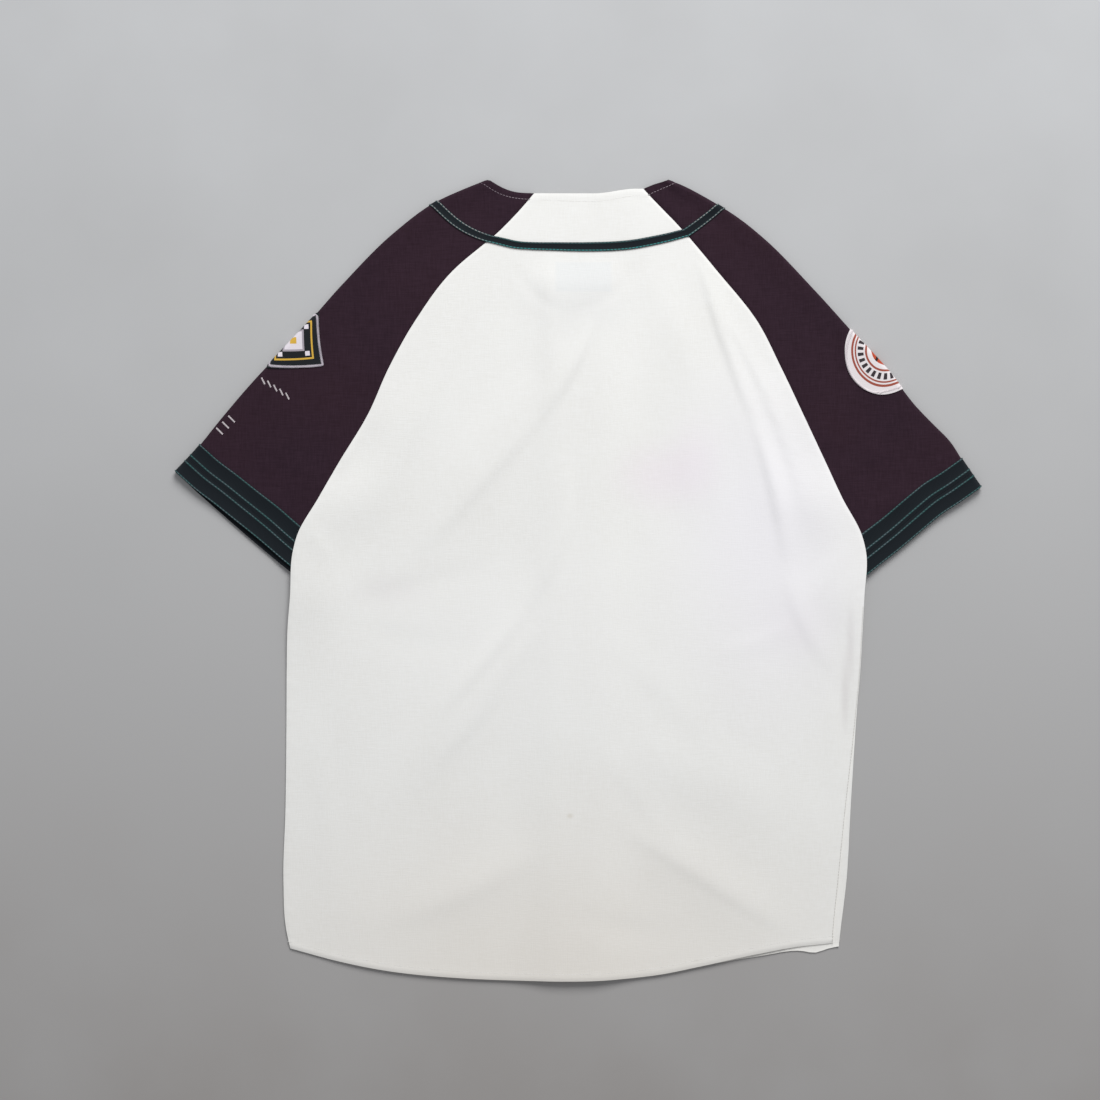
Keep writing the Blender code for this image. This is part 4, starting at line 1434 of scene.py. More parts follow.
@dataclass
class BackPanel:
    """The back, from the neck edge to the hem."""

    pitch: float = 4.2
    softening: int = 10
    label: tuple = (5.0, 303.0, 29.0, 15.0)  # the neck label inside shows as a faint plate
    label_rise: float = 0.12
    label_edge: float = 3.0
    seam_depth: float = 0.55  # beside the sleeves
    side_rise: float = 0.2  # by which the valley is shallower beside the fronts
    side_blend: float = 30.0
    pucker: float = 0.2
    panel: Panel = field(init=False)

    def __post_init__(self) -> None:
        """Lays the grid out and adds its creases and sewing."""
        width = CUT.edge("right", 0.0) - CUT.edge("left", 0.0)
        height = NECK_CORNER_Y - HEM_CORNER_Y
        stations = NECK_CORNER_Y - pitched(height, self.pitch, NECK_OFFSETS, HEM_OFFSETS)
        shares = pitched(width, self.pitch, SEAM_OFFSETS, SEAM_OFFSETS) / width
        xs, ys = [], []
        for share in shares:
            ends = [
                CUT.edge("left", y) * (1 - share) + CUT.edge("right", y) * share
                for y in (NECK_CORNER_Y, HEM_CORNER_Y)
            ]
            top = NECK_CORNER_Y + CUT.neck_tilt(ends[0])
            y = CUT.row_heights(stations, top, stations, CUT.hem(ends[1], "back_y"))
            level = np.maximum(y, HEM_CORNER_Y)
            xs.append(CUT.edge("left", level) * (1 - share) + CUT.edge("right", level) * share)
            ys.append(y)
        x, y = np.array(xs).T, np.array(ys).T
        x += SEAM_INSET * (1 - 2 * shares)
        z = softened(CUT.back_underside(x, y), self.softening)
        z += WALL / 2 + crease_heights(BACK_CREASES, x, y)
        self.panel = Panel(np.stack([x, y, z], axis=-1), 1)
        self.panel.add_relief(self.relief())

    def relief(self) -> Array:
        """The sewing's heights: neck edge, seams, hem and the label's plate."""
        x, y = self.panel.plain[..., 0], self.panel.plain[..., 1]
        down, up, across, back = self.panel.runs()
        height = BACK_NECK_HEM.relief(down, across) + BACK_HEM.relief(up, across)
        depth = self.seam_depth - self.side_rise * smooth((CUFF_CORNER_Y - y) / self.side_blend)
        for run in (across, back):
            height += seam_relief(run, down, depth, self.pucker)
        px, py, half_x, half_y = self.label
        inside = (half_x - np.abs(x - px), half_y - np.abs(y - py))
        return height + self.label_rise * np.minimum(*(smooth(d / self.label_edge) for d in inside))

    def build(self, braid: Thing, stitches: list) -> Thing:
        """Makes the piece.

        Args:
            braid: The neck braid, which is sewn on it. Not used.
            stitches: Its other trim. Not used.

        Returns:
            The piece.
        """
        piece = wall_mesh("back_panel", self.panel.grid, FINE_WALL, "cream_cotton")
        dress(piece, ("back",))
        return piece


@dataclass
class FrontPanel:
    """One front, from the raglan and side seam to the centre opening."""

    side: Side
    pitch: float = 6.0
    layout: float = 280.0  # about a front's width, from which its columns are shared out
    tries: int = 200
    panel: Panel = field(init=False)

    def __post_init__(self) -> None:
        """Lays the grid out and adds its creases and sewing."""
        name, sign = self.side.value, self.side.sign
        height = NECK_CORNER_Y - HEM_CORNER_Y
        stations = NECK_CORNER_Y - pitched(height, self.pitch, NECK_OFFSETS, HEM_OFFSETS)
        edge_rows = stations
        if sign > 0:
            edge_rows = stations + CUT.tilt * (1 - CUT.run_down(stations)) ** TOP_POWER
        level = CUT.front_level(edge_rows)
        shares = pitched(self.layout, self.pitch, SEAM_OFFSETS, SEAM_OFFSETS) / self.layout
        xs, ys = [], []
        for share in shares:
            top = level[0] if share == 0 else self.neckline_top(share)
            corner = float(self.column_x(share, HEM_CORNER_Y))
            y = CUT.row_heights(stations, top, level, CUT.hem(corner, "front_y"))
            xs.append(self.column_x(share, np.maximum(y, HEM_CORNER_Y)))
            ys.append(y)
        x, y = np.array(xs).T, np.array(ys).T
        x -= sign * SEAM_INSET * (1 - shares)
        from_neck = run_along(np.stack([x, y, x * 0], axis=-1), 0)
        z = CUT.front_underside(x, y, from_neck, name) + WALL / 2
        z += np.maximum(crease_heights(FRONT_CREASES, x, y), 0)
        self.panel = Panel(np.stack([x, y, z], axis=-1), sign)
        self.panel.add_relief(self.relief())

    def column_x(self, share: float, y: Array | float) -> Array:
        """x of a column at height y."""
        edge = CUT.edge("left" if self.side is Side.LEFT else "front_right", y)
        return edge + (CENTRE_X - self.side.sign * OVERLAP - edge) * share

    def neckline_top(self, share: float) -> float:
        """Height at which a column comes out of the neck opening into the cloth."""
        y = np.linspace(NECKLINE[0].y, NECKLINE[-1].y, self.tries)
        line = read(NECKLINE, "y", self.side.value, y)
        return float(np.interp(0.0, (self.column_x(share, y) - line) * self.side.sign, y))

    def relief(self) -> Array:
        """The sewing's heights: neckline, seam and hem."""
        down, up, across, _ = self.panel.runs()
        height = NECK_HEM.relief(down, across) + BODY_HEM.relief(up, across)
        return height + seam_relief(across, down)

    def build(self, stitches: list) -> Thing:
        """Makes the piece.

        Args:
            stitches: The stitches that are sewn in it. Not used.

        Returns:
            The piece.
        """
        name = self.side.value
        piece = wall_mesh(f"front_panel_{name}", self.panel.grid, FINE_WALL, "cream_cotton")
        dress(piece, (f"front_{name}",))
        return piece


@dataclass
class Placket:
    """The strip on the left front that carries the buttonholes."""

    front: FrontPanel
    half: float = 16.0
    end: float = 2.0
    pitch: float = 5.0
    cross_pitch: float = 3.0
    seam_depth: float = 0.3
    pucker: float = 0.1
    panel: Panel = field(init=False)

    def __post_init__(self) -> None:
        """Lays the strip along the left front's centre edge."""
        edge = self.front.panel.plain[:, -1]
        run = float(run_along(edge[:, None], 0)[-1, 0])
        places = self.end + pitched(run - 2 * self.end, self.pitch, SEAM_OFFSETS, SEAM_OFFSETS)
        line = at_distance(edge, places)
        offsets = SEAM_OFFSETS[:5]
        places = pitched(2 * self.half, self.cross_pitch, offsets, offsets)
        grid = np.repeat(line[:, None], len(places), axis=1)
        grid[..., 0] = CENTRE_X - self.half + places
        grid[..., 2] = PLACKET_UNDER + WALL / 2
        self.panel = Panel(grid, -1)
        down, _, across, back = self.panel.runs()
        seam = seam_relief(np.minimum(across, back), down, self.seam_depth, self.pucker)
        self.panel.add_relief(seam)

    def build(self, stitches: list) -> Thing:
        """Makes the piece.

        Args:
            stitches: The stitches that are sewn in it. Not used.

        Returns:
            The piece.
        """
        piece = wall_mesh("button_placket", self.panel.grid, WALL, "cream_cotton")
        dress(piece, ("placket",))
        return piece


@dataclass
class Sleeve:
    """One raglan sleeve, a flattened tube: upper layer, top fold, lower layer."""

    side: Side
    pitch: float = 4.5
    layout: float = 150.0  # about a layer's width, from which its columns are shared out
    fold_offsets: tuple = (0.0, 2.0, 4.5)
    hem_seam_y: float = 0.0  # where the cuff's edge meets the seam
    neck_bow: float = 0.0  # how far the neck edge sags between its ends
    bow_over: float = 4 / 18  # share of the way to the cuff over which that dies away
    wave_from: float = 10 / 18  # share of the way to the cuff at which its wave sets in
    wave_over: float = 8 / 18
    drop_ends: tuple = (205.0, 172.0)  # heights between which the upper layer drops off the back
    tuck_ends: tuple = (170.0, 128.0)  # heights between which the sleeve slips under the body
    tuck: float = 12.0
    tuck_ramp: float = 26.0
    tuck_clear: float = 4.0
    rise_from: float = 0.55
    seam_blend: tuple = (0.04, 0.34)
    fold_radius: float = 3.0
    fold_lift: float = 4.4
    sleeve_lift: float = 2.3
    layer: float = WALL + GAP
    bend_steps: int = 12
    most_below: float = 0.4  # that a crease presses up the lower layer
    seam_depth: float = 0.55
    pucker: float = 0.2
    pucker_shift: float = 9.0
    panel: Panel = field(init=False)
    bend_start: int = field(init=False)

    def __post_init__(self) -> None:
        """Lays the sections out and adds creases and sewing."""
        length = NECK_CORNER_Y - CUFF_CORNER_Y
        run = pitched(length, self.pitch, NECK_OFFSETS, HEM_OFFSETS)
        share = run / length
        seam_y = NECK_CORNER_Y - run
        if self.side is Side.RIGHT:
            seam_y = seam_y + CUT.tilt * (1 - CUT.run_down(seam_y)) ** TOP_POWER
        seam_y = seam_y + (self.hem_seam_y - CUFF_CORNER_Y) * share**HEM_POWER
        places = pitched(self.layout, self.pitch, SEAM_OFFSETS, self.fold_offsets)
        shares = places[:-1] / self.layout
        self.bend_start = len(shares)
        rings = [self.section(s, float(y), shares) for s, y in zip(share, seam_y)]
        grid = np.array(rings)
        rise = crease_heights(SLEEVE_CREASES, grid[..., 0], grid[..., 1])
        upper = np.arange(grid.shape[1]) < self.bend_start
        grid[..., 2] += np.where(upper, rise, np.clip(-rise, 0, self.most_below))
        self.panel = Panel(grid, self.side.sign)
        self.panel.add_relief(self.relief())

    def seam_point(self, y: float, tuck: float) -> Array:
        """A point on the body's raglan edge, moved in under it by tuck."""
        name = self.side.value
        slope = float(CUT.slope(name, y))
        inwards = -self.side.sign * np.array([1, -slope]) / math.hypot(1, slope)
        return np.array([float(CUT.edge(name, y)), y]) + inwards * (tuck - SEAM_INSET)

    def section(self, place: float, seam_y: float, shares: Array) -> list:
        """One ring of the sleeve.

        Args:
            place: Share of the way from the neck to the cuff.
            seam_y: Where the ring meets the back's raglan seam.
            shares: Where the upper layer's points lie, as shares of the way out.

        Returns:
            Points from the back's seam round the fold to the front's seam.
        """
        table = SLEEVES[self.side]
        fold = np.array([read(table, "seam_y", name, seam_y) for name in ("fold_x", "fold_y")])
        seams, unders = column(table, "seam_y"), column(table, "under_z")
        under = float(np.interp(seam_y, seams[::-1], unders[::-1]))
        starts, ends = self.drop_ends
        dropped = float(smooth((starts - seam_y) / (starts - ends)))
        starts, ends = self.tuck_ends
        tuck = self.tuck * float(smooth((starts - seam_y) / (starts - ends)))
        upper = self.seam_point(seam_y, tuck)
        lower = self.seam_point(float(CUT.front_level(seam_y)), tuck)
        wave = float(smooth((place - self.wave_from) / self.wave_over))
        bow_down = self.neck_bow * (1 - float(smooth(place / self.bow_over)))

        def lie(end: Array, out: float, layer: str) -> tuple[Array, float]:
            """Plan point of a layer, and its distance from the seam.

            Args:
                end: The layer's end at the seam.
                out: Share of the way from there to the fold.
                layer: "upper" or "lower".

            Returns:
                The point and the distance.
            """
            reach = np.linalg.norm(end - fold)
            start = fold + (end - fold) / reach * (self.fold_radius + WALL / 2)
            flat = end + (start - end) * out
            across = np.array([end[1] - fold[1], fold[0] - end[0]]) / reach
            across = across if across[1] > 0 else -across
            name = f"{self.side.value}_{layer}"
            bow = float(read(HEM_WAVE, "share", name, 1 - out)) * wave
            if layer == "upper":
                bow -= bow_down * math.sin(math.pi * out)
            return flat + across * bow, float(np.linalg.norm(end - flat))

        def lower_z(from_end: float) -> float:
            """Middle of the lower layer, which climbs onto the front where it tucks in."""
            out = float(smooth((from_end - tuck - self.tuck_clear) / self.tuck_ramp))
            return WALL / 2 + SLEEVE_REST + (under - SLEEVE_REST) * (1 - out)

        seam_z = float(CUT.back_underside(*(np.array([v]) for v in upper))[0]) + WALL / 2
        seam_z += (lower_z(0) + self.layer - seam_z) * dropped
        length = float(np.linalg.norm(upper - fold))
        blend_from, blend_to = self.seam_blend

        def upper_z(from_end: float) -> float:
            """Middle of the upper layer over the lower one."""
            out = from_end / length
            near_fold = float(smooth((out - self.rise_from) / (1 - self.rise_from)))
            apart = self.sleeve_lift + (self.fold_lift - self.sleeve_lift) * near_fold
            at_seam = 1 - float(smooth((out - blend_from) / (blend_to - blend_from)))
            return lower_z(from_end) + apart + (seam_z - lower_z(0) - apart) * at_seam

        ring = []
        for out in shares:
            flat, from_end = lie(upper, float(out), "upper")
            ring.append((*flat, upper_z(from_end)))
        top, low = lie(upper, 1, "upper"), lie(lower, 1, "lower")
        top_z, low_z = upper_z(top[1]), lower_z(low[1])
        for angle in np.linspace(math.pi / 2, -math.pi / 2, self.bend_steps + 1):
            share = (1 - math.sin(angle)) / 2
            foot = top[0] + (low[0] - top[0]) * share
            out = (fold - foot) / np.linalg.norm(fold - foot)
            flat = foot + out * self.fold_radius * math.cos(angle)
            ring.append((*flat, (top_z + low_z) / 2 + (top_z - low_z) / 2 * math.sin(angle)))
        for out in shares[::-1]:
            flat, from_end = lie(lower, float(out), "lower")
            ring.append((*flat, lower_z(from_end)))
        return ring

    def on_top(self, ax: float, ay: float, bx: float, by: float) -> Array:
        """A short line on the upper layer's outer face.

        Args:
            ax: Where it starts, across.
            ay: Where it starts, along.
            bx: Where it ends, across.
            by: Where it ends, along.

        Returns:
            Its points.
        """
        face = self.panel.moved_out(ON_CLOTH)[:, : self.bend_start].reshape(-1, 3)
        line = np.linspace((ax, ay), (bx, by), MARK_STEPS)
        near = [np.hypot(*(face[:, :2] - point).T).argmin() for point in line]
        return np.column_stack([line, face[near, 2]])

    def relief(self) -> Array:
        """The sewing's heights: neck edge, cuff and both seams."""
        down, up, across, back = self.panel.runs()
        height = NECK_HEM.relief(down, across) + CUFF_HEM.relief(up, across)
        for run in (across, back):
            height += seam_relief(run, down + self.pucker_shift, self.seam_depth, self.pucker)
        return height

    def build(self, trim: list) -> Thing:
        """Makes the piece, all round the tube.

        Args:
            trim: Braids, badge and stitches that are sewn on it. Not used.

        Returns:
            The piece.
        """
        name = self.side.value
        run = run_along(self.panel.grid, 0)
        flat = np.stack([run[-1:] - run, np.zeros_like(run)], axis=-1) * MM
        piece = wall_mesh(f"raglan_sleeve_{name}", self.panel.grid, WALL, "aubergine_cotton", flat)
        dress(piece, (f"sleeve_{name}",))
        return piece


# ======== trim
@dataclass(frozen=True)
class Braid:
    """A strip of braid sewn flat on the cloth, with lines of yarn that stand up along it."""

    name: str
    nodes: tuple
    width: float
    lines: tuple  # distances of its lines of yarn from its first edge
    thickness: float = BRAID_WALL
    line_half: float = 0.95
    line_rise: float = YARN_RISE
    margin: float = 0.05

    def stations(self) -> tuple[Array, Array]:
        """Where the strip's own points lie.

        Returns:
            Distances across the strip, and the yarn's share of its full height at each.
        """
        places = {0.0: 0.0, self.width / 2: 0.0, self.width: 0.0}
        for line in self.lines:
            places[max(line - self.line_half, self.margin)] = 0.0
            places[min(line + self.line_half, self.width - self.margin)] = 0.0
            places[line] = 1.0
        across = np.array(sorted(places))
        return across, np.array([places[place] for place in across])

    def strip(self, panel: Panel, near: Array, slant: Array | None = None) -> Array:
        """Points across the strip by along it.

        Args:
            panel: The cloth that it lies on.
            near: Distance of the strip's first edge from the grid's first row, for each column.
            slant: Given for a cuff, where the distances run from the last row and grow by it.

        Returns:
            A grid of points.
        """
        order = 1 if slant is None else -1
        low, high = (panel.moved_out(self.out() + d)[::order] for d in (0.0, self.line_rise))
        across, yarn = self.stations()
        slant = np.ones(low.shape[1]) if slant is None else slant
        lines = []
        for j, start in enumerate(near):
            places = (start + across) * slant[j]
            ground, top = (at_distance(grid[:, j], places) for grid in (low, high))
            lines.append(ground + (top - ground) * yarn[:, None])
        return np.array(lines).transpose(1, 0, 2)

    def out(self) -> float:
        """From a panel's middle to the middle of the strip."""
        return WALL / 2 + SEWN + self.thickness / 2

    def build(self, grid: Array) -> Thing:
        """Makes the strip with its own map: metres along it, the yarn's height across it.

        Args:
            grid: Its points, as strip gives them.

        Returns:
            The piece.
        """
        along = run_along(grid, 1) * MM
        yarn = np.broadcast_to(self.stations()[1][:, None], along.shape)
        piece = wall_mesh(self.name, grid, self.thickness, "braid", np.stack([along, yarn], axis=-1))
        return dress(piece, self.nodes)


@dataclass(frozen=True)
class NeckBraid:
    """The braid from one side of the placket over both shoulders to the other side."""

    braid: Braid = Braid("neck_braid", ("neck_tape",), 9.2, (0.9, 8.3))
    centre: float = 55.0  # from the neck edge to the middle line at the fronts' opening
    fold: float = 59.0  # the same at the sleeves' fold
    front_power: float = 0.5
    start: float = 17.5  # from the centre line to its ends
    smoothing: int = 2

    def over_back(self, back: Array) -> Array:
        """Where the braid crosses the back.

        Args:
            back: The back's plain grid.

        Returns:
            Distance along each column to the braid's middle line.
        """
        run = run_along(back, 0)
        line = read(NECK_LINE, "x", "y", back[..., 0])
        below = line - back[..., 1]
        return np.array([np.interp(0, below[:, j], run[:, j]) for j in range(back.shape[1])])

    def stretches(self, parts: dict) -> list:
        """The braid's way over each panel.

        Args:
            parts: The panels by kind and side.

        Returns:
            (panel, columns, distances of the braid's middle from the neck edge) for each
            stretch, from the left end to the right one.
        """
        back = parts["back", None]
        across = self.over_back(back.plain)
        found = []
        for side, seam in ((Side.LEFT, across[0]), (Side.RIGHT, across[-1])):
            front = parts["front", side]
            columns = np.arange(front.plain.shape[1])[::-1]
            share = np.linspace(0, 1, len(columns)) ** self.front_power
            middle = self.centre + (self.fold - self.centre) * share
            reach = [at_distance(front.plain[:, j], [m])[0, 0] for j, m in zip(columns, middle)]
            keep = side.sign * (np.array(reach) - CENTRE_X) >= self.start
            pieces = [(front, columns[keep], middle[keep])]
            sleeve = parts["sleeve", side]
            run = run_along(sleeve.plain, 1)[0]
            upper = smooth(1 - 2 * run / run[-1])
            middle = self.fold + (seam - self.fold) * upper
            pieces.append((sleeve, np.arange(len(run))[::-1], middle[::-1]))
            if side is Side.LEFT:
                found += [*pieces, (back, np.arange(len(across)), across)]
            else:
                found += [(panel, cols[::-1], mid[::-1]) for panel, cols, mid in pieces[::-1]]
        return found

    def grid(self, parts: dict) -> Array:
        """The braid's points, smoothed over the seams that it crosses.

        Args:
            parts: The panels by kind and side.

        Returns:
            A grid of points, across the braid by along it.
        """
        strips = []
        for panel, columns, middle in self.stretches(parts):
            near = np.zeros(panel.plain.shape[1])
            near[columns] = middle - self.braid.width / 2
            strips.append(self.braid.strip(panel, near)[:, columns[1:-1]])
        whole = np.concatenate(strips, axis=1)
        for _ in range(self.smoothing):
            whole[:, 1:-1] = (whole[:, :-2] + 2 * whole[:, 1:-1] + whole[:, 2:]) / 4
        return whole


@dataclass(frozen=True)
class Badge:
    """A felt badge wrapped over a sleeve's top fold."""

    name: str
    node: str
    slot: str
    finish: str
    side: Side
    along: float  # from the neck edge to its middle
    past: float  # how far its middle lies beyond the fold
    radius: float
    is_round: bool
    slices: int = 41
    cuts: int = 25
    disc_turn: float = 1.53  # radians from a disc's middle to its last slice, as on a clock
    square_reach: float = 0.985  # how near a square's last slice comes to its corner
    high: float = 4.0  # above this the badge lies on the upper layer
    thickness: float = FELT_WALL
    out: float = WALL / 2 + SEWN + FELT_WALL / 2

    def outline_and_grid(self, sleeve: Sleeve) -> tuple[Array, Array]:
        """The badge's points and their places on its own map.

        A sleeve's sections cross its columns at a slant, so the distance across and the drift
        along are added up apart from each other.

        Args:
            sleeve: The sleeve that carries it.

        Returns:
            The grid of points, and the same points' flat places in shares of the radius.
        """
        out = sleeve.panel.moved_out(self.out)
        places = [self.along - 1, self.along, self.along + 1]
        lines = np.array([at_distance(out[:, j], places) for j in range(out.shape[1])])
        step = np.diff(lines[:, 1], axis=0)
        ahead = (lines[1:, 2] - lines[1:, 0] + lines[:-1, 2] - lines[:-1, 0]) / 4
        drift = (step * ahead).sum(axis=1) / np.linalg.norm(ahead, axis=1)
        across = np.sqrt((step**2).sum(axis=1) - drift**2)
        drift, across = (np.concatenate([[0], np.cumsum(v)]) for v in (drift, across))
        middle = across[sleeve.bend_start + sleeve.bend_steps // 2] + self.past
        bend = across[sleeve.bend_start : sleeve.bend_start + sleeve.bend_steps + 1]
        span = np.linspace(-1, 1, self.slices)
        offs = np.sin(span * self.disc_turn) if self.is_round else span * self.square_reach
        wanted = middle + self.radius * offs
        spacing = np.diff(bend).mean()
        clear = [w for w in wanted if np.abs(bend - w).min() > spacing]
        index = np.arange(len(across))
        cuts = np.linspace(-1, 1, self.cuts)
        grid, flat = [], []
        for place in sorted([*clear, *bend]):
            off = (place - middle) / self.radius
            half = math.sqrt(max(1 - off * off, 0)) if self.is_round else 1 - abs(off)
            centre = self.along + np.interp(middle, across, drift) - np.interp(place, across, drift)
            column_at = float(np.interp(place, across, index))
            j = min(int(column_at), out.shape[1] - 2)
            line = out[:, j] + (out[:, j + 1] - out[:, j]) * (column_at - j)
            grid.append(at_distance(line, centre + self.radius * half * cuts))
            flat.append(np.stack([np.full(self.cuts, off), half * cuts], axis=-1))
        return np.array(grid), np.array(flat)

    def build(self, sleeve: Sleeve) -> tuple[Thing, Array]:
        """Makes the badge.

        Args:
            sleeve: The sleeve that carries it.

        Returns:
            The piece and the closed line round its edge, on its outer face.
        """
        grid, flat = self.outline_and_grid(sleeve)
        piece = wall_mesh(self.name, grid, self.thickness, self.finish, flat)
        dress(piece, (self.node,))
        normal = np.cross(np.gradient(grid, axis=0), np.gradient(grid, axis=1))
        normal /= np.linalg.norm(normal, axis=-1, keepdims=True)
        probe = len(grid) // 4, self.cuts // 2
        looks_up = normal[probe][2] > 0
        facing = 1 if looks_up == (grid[probe][2] > self.high) else -1
        face = grid + normal * facing * (self.thickness / 2)
        rim = np.concatenate([face[:, 1], face[-1, 1:-1], face[::-1, -2], face[0, -2:1:-1]])
        return piece, np.concatenate([rim, rim[:1]])


# ======== stitches
class StitchShape(NamedTuple):
    """One stitch: spacing, length along the line, width across it, height, all in mm."""

    pitch: float
    length: float
    width: float
    height: float


MARK_STITCH = StitchShape(0.7, 0.65, 2.0, 0.4)
LOCKSTITCH = StitchShape(3.1, 2.8, 0.55, 0.28)
FLAT_STITCH = StitchShape(3.1, 2.85, 0.45, 0.14)  # sunk in the body's soft cloth
BRAID_STITCH = StitchShape(3.6, 3.3, 1.15, 0.4)
SATIN_BORDER = StitchShape(0.95, 0.85, 3.2, 0.7)
BUTTONHOLE_BAR = StitchShape(0.8, 0.7, 2.0, 0.5)
SHANK_STITCH = StitchShape(0.9, 0.9, 0.6, 0.5)


@dataclass(frozen=True)
class Stitching:
    """Rows of stitches laid along lines by Geometry Nodes and turned into one mesh."""

    name: str
    finish: str
    slot: str
    shape: StitchShape
    seed: int = 7
    jitter: float = 0.05  # radians by which stitches turn off their line
    sides: int = 6
    rings: int = 4

    def tree(self) -> Tree:
        """Builds the node tree: points along the curve, one turned ellipsoid on each.

        Returns:
            The tree, whose inputs are the lines, the stitch's sizes and the seed.
        """
        tree = bpy.data.node_groups.new(self.name, "GeometryNodeTree")
        face = tree.interface
        face.new_socket("Lines", in_out="INPUT", socket_type="NodeSocketGeometry")
        for name in self.shape._fields:
            face.new_socket(name, in_out="INPUT", socket_type="NodeSocketFloat")
        face.new_socket("seed", in_out="INPUT", socket_type="NodeSocketInt")
        face.new_socket("Stitches", in_out="OUTPUT", socket_type="NodeSocketGeometry")
        given = add(tree, "NodeGroupInput").outputs
        path = {"Curve": given["Lines"], "Length": given["pitch"]}
        points = add(tree, "GeometryNodeCurveToPoints", path, mode="LENGTH").outputs
        size = {"X": given["length"], "Y": given["width"], "Z": given["height"]}
        size = add(tree, "ShaderNodeCombineXYZ", size).outputs[0]
        ball = {"Segments": self.sides, "Rings": self.rings, "Radius": 0.5}
        ball = add(tree, "GeometryNodeMeshUVSphere", ball).outputs["Mesh"]
        stitch = add(tree, "GeometryNodeTransform", {"Geometry": ball, "Scale": size}).outputs[0]
        tangent = {"Vector": points["Tangent"]}
        turned = add(tree, "FunctionNodeAlignRotationToVector", tangent, axis="X").outputs[0]
        wobble = {2: -self.jitter, 3: self.jitter, "Seed": given["seed"]}
        wobble = add(tree, "FunctionNodeRandomValue", wobble, data_type="FLOAT").outputs[1]
        spin = add(tree, "ShaderNodeCombineXYZ", {"Z": wobble}).outputs[0]
        turns = {0: turned, 1: add(tree, "FunctionNodeEulerToRotation", {0: spin}).outputs[0]}
        turned = add(tree, "FunctionNodeRotateRotation", turns, rotation_space="LOCAL").outputs[0]
        laid = {"Points": points["Points"], "Instance": stitch, "Rotation": turned}
        placed = add(tree, "GeometryNodeInstanceOnPoints", laid)
        real = add(tree, "GeometryNodeRealizeInstances", {"Geometry": placed.outputs[0]})
        worn = {"Geometry": real.outputs[0], "Material": finish_named(self.finish)}
        painted = add(tree, "GeometryNodeSetMaterial", worn)
        add(tree, "NodeGroupOutput", {0: painted.outputs[0]})
        return tree

    def build(self, lines: list) -> Thing:
        """Lays the stitches.

        Args:
            lines: Lines of points in millimetres.

        Returns:
            The piece, a plain mesh.
        """
        curve = bpy.data.curves.new(self.name + "_lines", "CURVE")
        curve.dimensions = "3D"
        for line in lines:
            spline = curve.splines.new("POLY")
            spline.points.add(len(line) - 1)
            flat = np.column_stack([line * MM, np.ones(len(line))])
            spline.points.foreach_set("co", flat.astype(np.float32).ravel())
        guide = bpy.data.objects.new(self.name + "_lines", curve)
        bpy.context.scene.collection.objects.link(guide)
        tree = self.tree()
        modifier = guide.modifiers.new("stitches", "NODES")
        modifier.node_group = tree
        sockets = {s.name: s.identifier for s in tree.interface.items_tree if s.in_out == "INPUT"}
        for name, value in self.shape._asdict().items():
            modifier[sockets[name]] = value * MM
        modifier[sockets["seed"]] = self.seed
        bpy.context.view_layer.update()
        graph = bpy.context.evaluated_depsgraph_get()
        mesh = bpy.data.meshes.new_from_object(guide.evaluated_get(graph))
        guide.modifiers.clear()
        bpy.data.objects.remove(guide, do_unlink=True)
        mesh.shade_smooth()
        piece = link_mesh(self.name, mesh, self.finish)
        return dress(piece)


